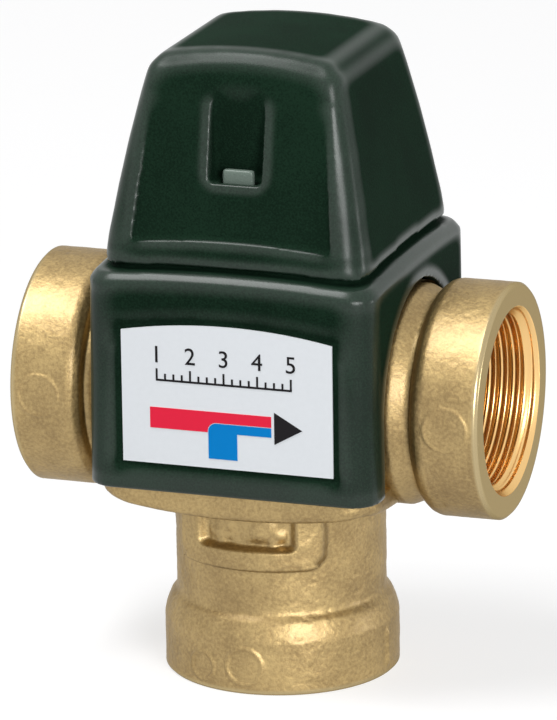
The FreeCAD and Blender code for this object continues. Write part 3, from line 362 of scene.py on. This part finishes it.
def finish_piece(name, mesh, material, body):
    """Puts a mesh in the scene as a smooth piece that rides on a body."""
    mesh.validate()
    mesh.polygons.foreach_set("use_smooth", [True] * len(mesh.polygons))
    mesh.materials.clear()
    mesh.materials.append(material)
    piece = bpy.data.objects.new(name, mesh)
    bpy.context.scene.collection.objects.link(piece)
    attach(piece, body)
    print(f"{name}: {len(mesh.polygons)} faces")
    return piece


# %% [markdown]
# ## The cast skin
# Each port is a thick collar on a thinner neck, with a rounded step between them. The mould
# leaves raised rings on the collars, and the sand leaves lumps. The collar's face is turned flat
# afterwards, so the lumps fade out just before it.

# %% Sizes of the casting, in mm
mounts = {row["name"]: row for row in record["mounts"]}
port_z = mounts["mixed_outlet"]["pos_m"][2] / MM
port_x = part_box("valve_body")[1].x / MM
thread_r = mounts["mixed_outlet"]["dims"]["r_mm"]
thread_depth = mounts["mixed_outlet"]["dims"]["length_mm"]
seat_drop = 28.8           # from the casting's top down to the cover's seat
cover_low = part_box("valve_body")[1].z / MM - seat_drop
thread_minor_r = 12.06
thread_pitch = 1.814
mouth_r = thread_r + 0.4
collar_r = 17.0
collar_chamfer = 0.4
collar_length = 8.0
step_length = 2.5
neck_r = 15.2
crest_r = 15.85
crease_r = 14.85
cell_length = 0.24         # of a net's cells along an outline
columns = 440
turns = 2 * math.pi * np.arange(columns) / columns


# %% Relief of a casting
def sand(points, strength=1.0):
    """Height of the blasted sand skin at points in mm."""
    rough = (hills(points, 0.62, 3) * 0.026 + hills(points, 1.3, 5) * 0.04
             + hills(points, 4.5, 7) * 0.05)
    pits = np.clip(hills(points, 0.9, 11) - 0.45, 0, 1) * -0.16
    return strength * (rough + pits)


def ring_mark(across, up, radius, height=0.26, width=0.24):
    """Height of a raised ring left by the mould."""
    return height * np.exp(-(((np.hypot(across, up) - radius) / width) ** 2))


def rounded(outline, reach, fixed):
    """The same outline with its corners eased, apart from the first `fixed` mm."""
    run = np.concatenate([[0], np.cumsum(np.hypot(*np.diff(outline, axis=0).T))])
    eased = outline.copy()
    for i in np.flatnonzero(run > fixed):
        weight = np.exp(-(((run - run[i]) / reach) ** 2)) * (run > fixed - reach)
        eased[i] = (outline * weight[:, None]).sum(0) / weight.sum()
    return eased


# %% Side collars
def around_x(side, inward, radius, centre_z):
    """Points round a side port's axis, `inward` from its face."""
    return np.stack(np.broadcast_arrays(side * (port_x - inward), -np.cos(turns) * radius,
                                        centre_z + np.sin(turns) * radius), axis=-1)


def side_collar(name, side, rings):
    """Collar and neck of a side port; side is +1 or -1 along X."""
    outline = resample([
        (0, mouth_r), (0, collar_r - collar_chamfer), (collar_chamfer, collar_r),
        (collar_length + 0.4, collar_r), (collar_length + 1.3, collar_r - 0.3),
        (collar_length + 2.2, collar_r - 1.1), (collar_length + step_length, crease_r),
        (collar_length + step_length + 0.8, crease_r), (port_x - 21.6, crest_r),
        (port_x - 19.0, crest_r),
    ], cell_length)
    outline = rounded(outline, 0.3, 6.0)
    inward, radius = outline[:, :1], outline[:, 1:]
    cast = np.clip((inward - collar_chamfer) / 0.5, 0, 1)
    high = sand(around_x(side, inward, radius, 0) + 50 * side, 0.6) * cast
    spread = np.angle(np.exp(1j * turns)) * collar_r
    for place, size, height in rings:
        high = high + ring_mark(inward - place, spread, size, height) * cast
    points = around_x(side, inward, radius + high, port_z)
    return net(name, points, cast_brass, "valve", 1 - cast, outward=side > 0)


outlet_collar = side_collar("outlet_collar", 1, [(4.7, 3.1, 0.2), (4.7, 2.5, 0.08)])
hot_collar = side_collar("hot_collar", -1, [(4.3, 3.0, 0.2)])

# %% [markdown]
# ## The lower neck and its ledge
# Below the cover the neck drops from a square ledge to the bottom port. A cast U stands out at
# the front. The skin is one net round the upright axis: at the top each column runs out to the
# ledge's edge, wherever that lies in its own direction.

# %% Ledge and bottom port
ledge_half = (20.6, 21.5)
ledge_corner = 5.0
ledge_height = 4.0
ledge_arch_r = 98.0
bead_half = 11.0
pocket_half = 6.1
bead_height = 1.5
bead_drop = 9.2            # U's lower edge, below the ledge
fillet = 0.9               # between the neck and the ledge
ledge_edge = 1.3           # rounding of the ledge's lower edge
fillet_rows, under_rows, edge_rows, side_rows = 6, 21, 8, 11


def reach_of(turn):
    """Distance from the axis to the ledge's edge in one direction."""
    across, ahead = abs(math.sin(turn)), abs(math.cos(turn))
    half_x, half_y = ledge_half
    if across > 1e-9 and half_x / across * ahead <= half_y - ledge_corner:
        return half_x / across
    if ahead > 1e-9 and half_y / ahead * across <= half_x - ledge_corner:
        return half_y / ahead
    centre = (half_x - ledge_corner, half_y - ledge_corner)
    along = across * centre[0] + ahead * centre[1]
    return along + math.sqrt(along ** 2 - centre[0] ** 2 - centre[1] ** 2 + ledge_corner ** 2)


def underside(x, y):
    """Height of the ledge's arched underside."""
    ride = np.minimum(np.abs(x), np.abs(y))
    return cover_low - ledge_height + ledge_arch_r - np.sqrt(ledge_arch_r ** 2 - ride ** 2)


def ramp(distance, width):
    """0 at and outside an edge, 1 at `width` inside it, and rounded at both ends."""
    share = np.clip(distance / width, 0, 1)
    return share * share * (3 - 2 * share)


def box_edge(across, height, half, low, corner):
    """Distance inside a shape that is open at the top, with rounded lower corners."""
    side, base = half - np.abs(across), height - low
    inside = np.minimum(side, base)
    near = (side < corner) & (base < corner)
    return np.where(near, corner - np.hypot(corner - side, corner - base), inside)

# %% The cast U
def bead(across, height, ledge_low):
    """Height of the cast U at a place on the front of the neck, from 0 to 1."""
    low = ledge_low - bead_drop
    inside = box_edge(across, height, bead_half, low, 2.8)
    near_corner = height - low < np.abs(bead_half - np.abs(across)) * 0.6
    steep = np.where(near_corner, ramp(inside, 0.7), ramp(inside, 1.5))
    pocket = ramp(box_edge(across, height, pocket_half + 0.9, low + 3.2, 1.2), 0.9)
    return steep * (1 - pocket)


def front_relief(flat, height, ledge_low):
    """Cast U on the neck's front and the rough floor of its pocket, in mm."""
    front = np.cos(turns) > 0
    raised = bead(flat[..., 0], height, ledge_low) * front * bead_height
    inside = box_edge(flat[..., 0], height, pocket_half + 0.4, ledge_low - 6.0, 1.0)
    pocket = ramp(inside, 1.0) * front
    lump = np.exp(-((flat[..., 0] - 2.6) / 2.6) ** 2 - ((height - ledge_low + 2.6) / 2.0) ** 2)
    return raised, pocket * (hills(flat, 1.3, 21) * 0.3 + lump * 0.5)


# %% Bottom port and neck
def around_z(radius, height, direction):
    """Points round the upright axis."""
    return np.stack(np.broadcast_arrays(radius * direction[:, 0], radius * direction[:, 1],
                                        height), axis=-1)


def socket_marks(height):
    """The mould's two rings and its bar on the bottom socket, in mm."""
    spread = np.angle(np.exp(1j * turns))
    middle = ring_mark(spread * collar_r, height - 4.2, 2.7, 0.34)
    left = ring_mark((spread + 0.41) * collar_r, height - 3.4, 2.1, 0.36)
    bar = np.exp(-((((spread - 1.43) * collar_r) / 0.45) ** 4))
    return middle, left, bar * np.clip(1 - np.abs(height - 4.2) / 3.2, 0, 0.3)


def neck_skin(direction, ledge_low):
    """Bottom port and neck: their points, how far each row is cast, and the U's last row."""
    lower = resample([
        (mouth_r, 0), (collar_r - collar_chamfer, 0), (collar_r, collar_chamfer),
        (collar_r, 7.9), (collar_r - 0.25, 8.9), (collar_r - 0.6, 9.9), (collar_r - 0.95, 10.7),
        (neck_r + 0.15, 11.5), (neck_r, 12.1), (neck_r, ledge_low - fillet),
    ], cell_length)
    lower = rounded(lower, 0.28, 6.0)
    radius, height = lower[:, :1], lower[:, 1:]
    cast = np.clip((height - collar_chamfer) / 0.5, 0, 1)
    flat = around_z(radius, height, direction)
    raised, rough = front_relief(flat, height, ledge_low)
    middle, left, bar = socket_marks(height)
    high = sand(flat) * cast + raised + rough + middle + left
    return around_z(radius + high + bar, height, direction), cast, (raised + rough)[-1]


# %% Ledge
def ledge_skin(direction, foot):
    """Rows from the neck's fillet out under the ledge and up its sides; `foot` is the U there."""
    reach = np.array([reach_of(turn) for turn in turns])
    inner, outer = neck_r + foot + fillet, reach - ledge_edge
    parts = []
    for share in np.linspace(0, 1, fillet_rows + 1)[1:]:
        angle = share * math.pi / 2
        parts.append((neck_r + foot + fillet * (1 - math.cos(angle)),
                      -fillet * (1 - math.sin(angle))))
    for share in np.linspace(0, 1, under_rows + 1)[1:]:
        parts.append((inner + (outer - inner) * share, 0.0))
    for share in np.linspace(0, 1, edge_rows + 1)[1:]:
        angle = share * math.pi / 2
        parts.append((outer + ledge_edge * math.sin(angle), ledge_edge * (1 - math.cos(angle))))
    rows = []
    for distance, lift in parts:
        x, y = distance * direction[:, 0], distance * direction[:, 1]
        rows.append(np.stack([x, y, underside(x, y) + lift], axis=-1))
    last = rows[-1]
    for share in np.linspace(0, 1, side_rows + 1)[1:]:
        row = last.copy()
        row[:, 2] = last[:, 2] + (cover_low - last[:, 2]) * share
        rows.append(row)
    closing = last.copy()
    closing[:, :2] *= ((reach - 3.0) / reach)[:, None]
    closing[:, 2] = cover_low
    return np.array(rows + [closing])


def roughened(ledge, direction):
    """The ledge with its sand skin: pushed down on its underside, and outwards on its sides."""
    outwards = np.zeros_like(ledge)
    outwards[..., :2] = direction
    outwards[:fillet_rows + under_rows, :, :2] = 0
    outwards[:fillet_rows + under_rows, :, 2] = -1
    ledge[:-1] += (sand(ledge)[..., None] * outwards)[:-1]
    return ledge


# %% Bottom port, neck and ledge in one skin
def lower_skin():
    """Bottom port, neck, cast U and ledge in one skin."""
    direction = np.stack([np.sin(turns), -np.cos(turns)], axis=-1)
    neck, cast, foot = neck_skin(direction, cover_low - ledge_height)
    ledge = roughened(ledge_skin(direction, foot), direction)
    ledge[0] = (ledge[0] + neck[-1]) / 2
    ledge[-2, :, 2] = np.minimum(ledge[-2, :, 2], cover_low)
    points = np.concatenate([neck, ledge])
    cut = np.concatenate([1 - np.broadcast_to(cast, neck.shape[:2]), np.zeros(ledge.shape[:2])])
    return net("bottom_port", points, cast_brass, "valve", cut)


bottom_port = lower_skin()

# %% [markdown]
# ## Threads
# A tap leaves a helix: follow a crest once round and it has moved on by one pitch. The net's
# columns are shifted by their share of a pitch, so that its rows run along the crests.

# %% Helical threads in the three ports
rows_per_pitch = 10
thread_columns = 120


def thread(name, origin, axis, side_axis):
    """Female thread that runs inwards from a port's face; all in mm."""
    axis, side_axis = Vector(axis), Vector(side_axis)
    third = axis.cross(side_axis)
    turn = 2 * math.pi * np.arange(thread_columns) / thread_columns
    count = int(thread_depth / thread_pitch + 2) * rows_per_pitch
    row = np.arange(count)[:, None]
    depth = ((row - rows_per_pitch) / rows_per_pitch * thread_pitch
             + turn / (2 * math.pi) * thread_pitch)
    phase = (row % rows_per_pitch) / rows_per_pitch + 0 * turn
    wave = np.clip(0.5 + 0.72 * np.cos(2 * math.pi * phase), 0.06, 0.94)
    radius = thread_minor_r + (thread_r - thread_minor_r) * wave
    depth = np.clip(depth, 0, thread_depth)
    radius = np.maximum(radius, mouth_r - depth * 0.8)
    radius = np.minimum(radius, mouth_r)
    points = np.array(origin) + depth[..., None] * np.array(axis)
    points = points + radius[..., None] * (np.cos(turn)[:, None] * np.array(side_axis)
                                           + np.sin(turn)[:, None] * np.array(third))
    flip = Matrix((side_axis, third, axis)).determinant() > 0
    return thread_net(name, points, flip)


def thread_net(name, points, flip):
    """Net of a helix: its last column joins the first one a pitch further on."""
    rows, around = points.shape[:2]
    index = np.arange(rows * around).reshape(rows, around)
    beside = np.roll(index, -1, axis=1)
    beside[:-rows_per_pitch, -1] = index[rows_per_pitch:, 0]
    quads = np.stack([index[:-1], beside[:-1], beside[1:], index[1:]], axis=-1)
    quads = quads[:-rows_per_pitch].reshape(-1, 4)
    if flip:
        quads = quads[:, ::-1]
    mesh = bpy.data.meshes.new(name)
    mesh.from_pydata((points.reshape(-1, 3) * MM).tolist(), [], quads.tolist())
    keep_marks(mesh, "machined", np.ones(rows * around))
    return finish_piece(name, mesh, thread_brass, "valve")


outlet_thread = thread("outlet_thread", (port_x, 0, port_z), (-1, 0, 0), (0, -1, 0))
hot_thread = thread("hot_thread", (-port_x, 0, port_z), (1, 0, 0), (0, -1, 0))
cold_thread = thread("cold_thread", (0, 0, 0), (0, 0, 1), (0, -1, 0))

# %% [markdown]
# ## Inside the casting
# The chambers and seats behind the threads are already right in the solid model. Their faces are
# copied into one piece; the outer faces, which the new skins stand for, are left out.

# %% Chambers
skin_r = 14.5              # faces further out than this belong to the new skins
thread_wall_r = thread_r - 0.1
slack = 0.01
chamber_shine = 0.6        # how far the inner faces look machined


def stands_in(corners):
    """Whether a new skin or thread stands for a face of the casting, from its corners in mm."""
    x, y, z = corners.mean(0)
    from_x = np.hypot(corners[:, 1], corners[:, 2] - port_z).min()
    from_z = np.hypot(corners[:, 0], corners[:, 1]).min()
    if abs(x) > port_x - slack:
        return True
    if abs(x) > port_x - thread_depth - slack:
        if from_x > skin_r or from_x > thread_wall_r and np.ptp(corners[:, 0]) > slack:
            return True
    if z < cover_low + slack:
        return from_z > skin_r or from_z > thread_wall_r and z < thread_depth - slack
    return False


def casting_core():
    """Copy of the casting's inner faces."""
    source = frame["nodes"]["valve_body"].data
    co = read(source.vertices, "co", 3) / MM
    keep = [tuple(face.vertices) for face in source.polygons
            if not stands_in(co[list(face.vertices)])]
    mesh = bpy.data.meshes.new("casting_core")
    mesh.from_pydata((co * MM).tolist(), [], keep)
    keep_marks(mesh, "machined", np.full(len(co), chamber_shine))
    return finish_piece("casting_core", mesh, cast_brass, "valve")


core = casting_core()
core.data.polygons.foreach_set("use_smooth", [False] * len(core.data.polygons))
for piece in (core, outlet_collar, hot_collar, bottom_port, outlet_thread, hot_thread, cold_thread):
    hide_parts("valve_body")

# %% [markdown]
# ## Soft-edged mouldings
# A moulding has no sharp edges: the tool's edges are eased and the draft runs out in small radii.
# The exact solid is copied, rebuilt in small even cells, and then smoothed a little. That rounds
# every edge alike, and keeps each face where it was.

# %% Edge marks
marks_from, marks_span = 0.012, 0.06    # bulge per mm of cell where a mark starts, and its range


def edge_marks(mesh, cell):
    """Writes on each vertex how strongly the surface bulges there, from 0 to 1."""
    count = len(mesh.vertices)
    co = read(mesh.vertices, "co", 3)
    normals = read(mesh.vertices, "normal", 3)
    ends = read(mesh.edges, "vertices", 2, int)
    bulge = np.zeros(count)
    for a, b in (ends.T, ends.T[::-1]):
        slope = ((co[a] - co[b]) * normals[a]).sum(1) / np.linalg.norm(co[a] - co[b], axis=1)
        np.add.at(bulge, a, slope)
    degree = np.bincount(ends.ravel(), minlength=count)
    bulge = bulge / np.maximum(degree, 1)
    for _ in range(16):
        total = np.zeros(count)
        for a, b in (ends.T, ends.T[::-1]):
            np.add.at(total, a, bulge[b])
        bulge = 0.4 * bulge + 0.6 * total / np.maximum(degree, 1)
    # The mark sets a coat and a painted highlight in the moulded finishes.
    keep_marks(mesh, "edge", np.clip((bulge / cell - marks_from) / marks_span, 0, 1))


# %% Easing
def ease_where(mesh, share, passes):
    """Evens out a mesh, by the share from 0 to 1 that each vertex has."""
    count = len(mesh.vertices)
    co = read(mesh.vertices, "co", 3)
    ends = read(mesh.edges, "vertices", 2, int)
    a, b = ends.T
    degree = np.maximum(np.bincount(ends.ravel(), minlength=count), 1)[:, None]
    weight = share(co / MM)[:, None] * 0.5
    for _ in range(passes):
        total = np.stack([np.bincount(a, co[b, i], count) + np.bincount(b, co[a, i], count)
                          for i in range(3)], axis=-1)
        co = co + (total / degree - co) * weight
    mesh.vertices.foreach_set("co", co.ravel())
    mesh.update()


def applied(source):
    """Mesh of an object or a text, with everything on it worked out."""
    graph = bpy.context.evaluated_depsgraph_get()
    return bpy.data.meshes.new_from_object(source.evaluated_get(graph))


# %% Mouldings
soft_passes = 26


def moulding(node, name, cell, passes, body, slot, soft=None):
    """Soft-edged copy of a CAD node that replaces it; `soft` eases its big edges more."""
    mesh = frame["nodes"][node].data.copy()
    work = bpy.data.objects.new(name + "_work", mesh)
    bpy.context.scene.collection.objects.link(work)
    remesh = work.modifiers.new("cells", "REMESH")
    remesh.mode = "VOXEL"
    remesh.voxel_size = cell * MM
    smooth = work.modifiers.new("ease", "SMOOTH")
    smooth.factor = 0.5
    smooth.iterations = passes
    ready = applied(work)
    ready.name = name
    bpy.data.objects.remove(work)
    bpy.data.meshes.remove(mesh)
    if soft is not None:
        ease_where(ready, soft, soft_passes)
    edge_marks(ready, cell)
    piece = finish_piece(name, ready, finish_of[slot], body)
    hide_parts(node)
    return piece


# %% Where the cap is softest
panel_half, panel_low, side_draft = 15.6, 67, 0.082    # the front panel narrows upwards
panel_top = 87.2
rim_from, rim_fade = 68.0, 3.0                         # the lower rim keeps its shape
lower_edge = 66.8
fade = 0.8


def cap_edges(points):
    """How much each point is eased: 1 by the cap's upright and upper edges, 0 on its panel."""
    x, y, z = np.abs(points[:, 0]), points[:, 1], points[:, 2]
    outside = np.clip((x - (panel_half - (z - panel_low) * side_draft)) / fade, 0, 1)
    above = np.clip((z - panel_top) / fade, 0, 1)
    rim = np.clip((z - rim_from) / rim_fade, 0, 1)
    shell = np.clip((np.maximum(x - 8, np.abs(y) - 8) - 2) / 2, 0, 1)
    low = np.clip((lower_edge - z) / fade, 0, 1) * 0.6
    return np.maximum(np.maximum(outside, above) * rim * np.maximum(shell, above), low)


moulding("lower_cover", "lower_moulding", 0.42, 4, "valve", "cover_green")
moulding("cap", "cap_moulding", 0.345, 4, "cap", "cap_green", cap_edges)
moulding("knob", "knob_moulding", 0.4, 3, "knob_group", "knob_plastic")

# %% [markdown]
# ## The printed scale
# The label's upper part carries a scale for the knob's settings: five numbers over a row of
# ticks. They are screen printed, so each is a thin film of black ink just proud of the label.

# %% Scale
ink_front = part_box("label_arrow")[0].y
ink_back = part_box("label")[0].y
black = finish_of["print_black"]


def ink_shape(name, corners):
    """A flat printed shape on the label, from its (x, z) corners in mm."""
    front = [(x * MM, ink_front, z * MM) for x, z in corners]
    back = [(x * MM, ink_back, z * MM) for x, z in corners]
    count = len(corners)
    faces = [tuple(range(count)), tuple(reversed(range(count, 2 * count)))]
    faces += [(i, i + count, (i + 1) % count + count, (i + 1) % count) for i in range(count)]
    mesh = bpy.data.meshes.new(name)
    mesh.from_pydata(front + back, [], faces)
    piece = finish_piece(name, mesh, black, "valve")
    mesh.polygons.foreach_set("use_smooth", [False] * len(mesh.polygons))
    return piece


def ink_bar(name, left, right, low, high):
    """A printed rectangle on the label; all in mm."""
    return ink_shape(name, [(left, low), (right, low), (right, high), (left, high)])


def number(name, word, x, z, height):
    """A printed number, centred on x, with its foot at z; all in mm."""
    curve = bpy.data.curves.new(name, "FONT")
    curve.body = word
    curve.size = height * 1.4 * MM
    curve.align_x = "CENTER"
    curve.extrude = (ink_back - ink_front) / 2
    holder = bpy.data.objects.new(name + "_curve", curve)
    bpy.context.scene.collection.objects.link(holder)
    mesh = applied(holder)
    bpy.data.objects.remove(holder)
    mesh.transform(Matrix.Translation((x * MM, (ink_front + ink_back) / 2, z * MM))
                   @ Matrix.Rotation(math.pi / 2, 4, "X"))
    piece = finish_piece(name, mesh, black, "valve")
    mesh.polygons.foreach_set("use_smooth", [False] * len(mesh.polygons))
    return piece


# %% Numbers and ticks
scale_low = port_z + 5.9
scale_places = np.linspace(-10.4, 9.6, 5)
tick_half = 0.14
line_width = 0.3
for i, x in enumerate(scale_places):
    number(f"scale_number_{i + 1}", str(i + 1), x, scale_low + 2.4, 2.5)
for i, x in enumerate(np.linspace(scale_places[0], scale_places[-1], 17)):
    tall = 1.5 if i % 4 == 0 else 0.8
    ink_bar(f"scale_tick_{i + 1}", x - tick_half, x + tick_half, scale_low, scale_low + tall)
ink_bar("scale_line", scale_places[0] - tick_half, scale_places[-1] + tick_half,
        scale_low - line_width, scale_low)
print("scale printed")

# %% [markdown]
# ## The studio
# The valve stands on a pale floor under soft lamps: a large one above, a key in front to the
# right, and a small low one at its right side. The world looks white to the camera and to
# reflections, and lights the valve more gently. The floor looks paler the further out it lies,
# so that it runs into the white of the world.

# %% Floor
def studio_floor():
    """Large pale plane at the height the valve stands on."""
    size = 6.0
    corners = [(-size, -size, 0), (size, -size, 0), (size, size, 0), (-size, size, 0)]
    mesh = bpy.data.meshes.new("floor")
    mesh.from_pydata(corners, [], [(0, 1, 2, 3)])
    floor = bpy.data.objects.new("floor", mesh)
    bpy.context.scene.collection.objects.link(floor)
    finish = Finish("studio_floor")
    finish.surface(Base_Color=[0.36, 0.36, 0.364, 1], Roughness=0.9, Specular_IOR_Level=0.1)
    seen = finish.node("ShaderNodeLightPath", output="Is Camera Ray")
    glossy = finish.node("ShaderNodeLightPath", output="Is Glossy Ray")
    through = finish.node("ShaderNodeLightPath", output="Is Transmission Ray")
    place = {0: finish.place()}
    away = finish.node("ShaderNodeVectorMath", {"operation": "LENGTH"}, place, output=1)
    near_glow, far_glow = [0.7, 0.7, 0.7, 1], [0.98, 0.98, 0.98, 1]
    glow = finish.blend(finish.window(away, 0.25, 1.6), near_glow, far_glow)
    finish.surface(Emission_Color=finish.blend(seen + glossy + through, [0, 0, 0, 1], glow),
                   Emission_Strength=1.0)
    mesh.materials.append(finish.material)


# %% World
def studio_world():
    """White to look at, and a gentle light on the object."""
    world = bpy.data.worlds.new("studio")
    bpy.context.scene.world = world
    world.use_nodes = True
    nodes = Nodes(world.node_tree)
    seen = nodes.node("ShaderNodeLightPath", output="Is Camera Ray")
    glossy = nodes.node("ShaderNodeLightPath", output="Is Glossy Ray")
    through = nodes.node("ShaderNodeLightPath", output="Is Transmission Ray")
    inputs = {"Value": seen.or_more(glossy).or_more(through), "To Min": 0.2, "To Max": 1.0}
    level = nodes.node("ShaderNodeMapRange", None, inputs)
    background = nodes.tree.nodes["Background"]
    nodes.feed(background.inputs["Color"], (1, 1, 1, 1))
    nodes.feed(background.inputs["Strength"], level)


studio_floor()
studio_world()
print("floor and world ready")


# %% Lamps
def lamp(name, place, size, power):
    """Square area lamp aimed at the middle of the valve; in metres and watts."""
    data = bpy.data.lights.new(name, "AREA")
    data.size = size
    data.energy = power
    light = bpy.data.objects.new(name, data)
    light.location = place
    aim = Vector((0, 0, 0.045)) - Vector(place)
    light.rotation_euler = aim.to_track_quat("-Z", "Y").to_euler()
    bpy.context.scene.collection.objects.link(light)


lamp("top", (-0.28, -0.24, 0.85), 0.42, 6.4)
lamp("key", (0.58, -0.7, 0.3), 0.34, 5.6)
lamp("side", (0.9, 0.25, 0.06), 0.12, 0.8)

# %% [markdown]
# ## The camera
# The valve is seen from a little above and to its right, through a long lens, so that upright
# edges stay nearly parallel.

# %% Camera
azimuth, elevation, roll = (math.radians(angle) for angle in (19.36, 16.33, -0.8))
view_distance = 944.7 * MM
target = Vector((-0.07, 0, 45.17)) * MM
focal_length, sensor_width = 328.77, 36    # mm
to_camera = Vector((math.sin(azimuth) * math.cos(elevation),
                    -math.cos(azimuth) * math.cos(elevation), math.sin(elevation)))
level_right = (-to_camera).cross(Vector((0, 0, 1))).normalized()
level_up = level_right.cross(-to_camera)
rolled_right = math.cos(roll) * level_right + math.sin(roll) * level_up
rolled_up = math.cos(roll) * level_up - math.sin(roll) * level_right
lens = bpy.data.cameras.new("camera")
lens.lens = focal_length
lens.sensor_width = sensor_width
lens.sensor_fit = "AUTO"
lens.clip_end = 20
camera = bpy.data.objects.new("camera", lens)
bpy.context.scene.collection.objects.link(camera)
pose = Matrix((rolled_right, rolled_up, to_camera)).transposed().to_4x4()
camera.matrix_world = Matrix.Translation(target + to_camera * view_distance) @ pose
bpy.context.scene.camera = camera
bpy.context.scene.view_settings.view_transform = "Standard"
print("camera placed", round(view_distance / MM, 1), "mm away")
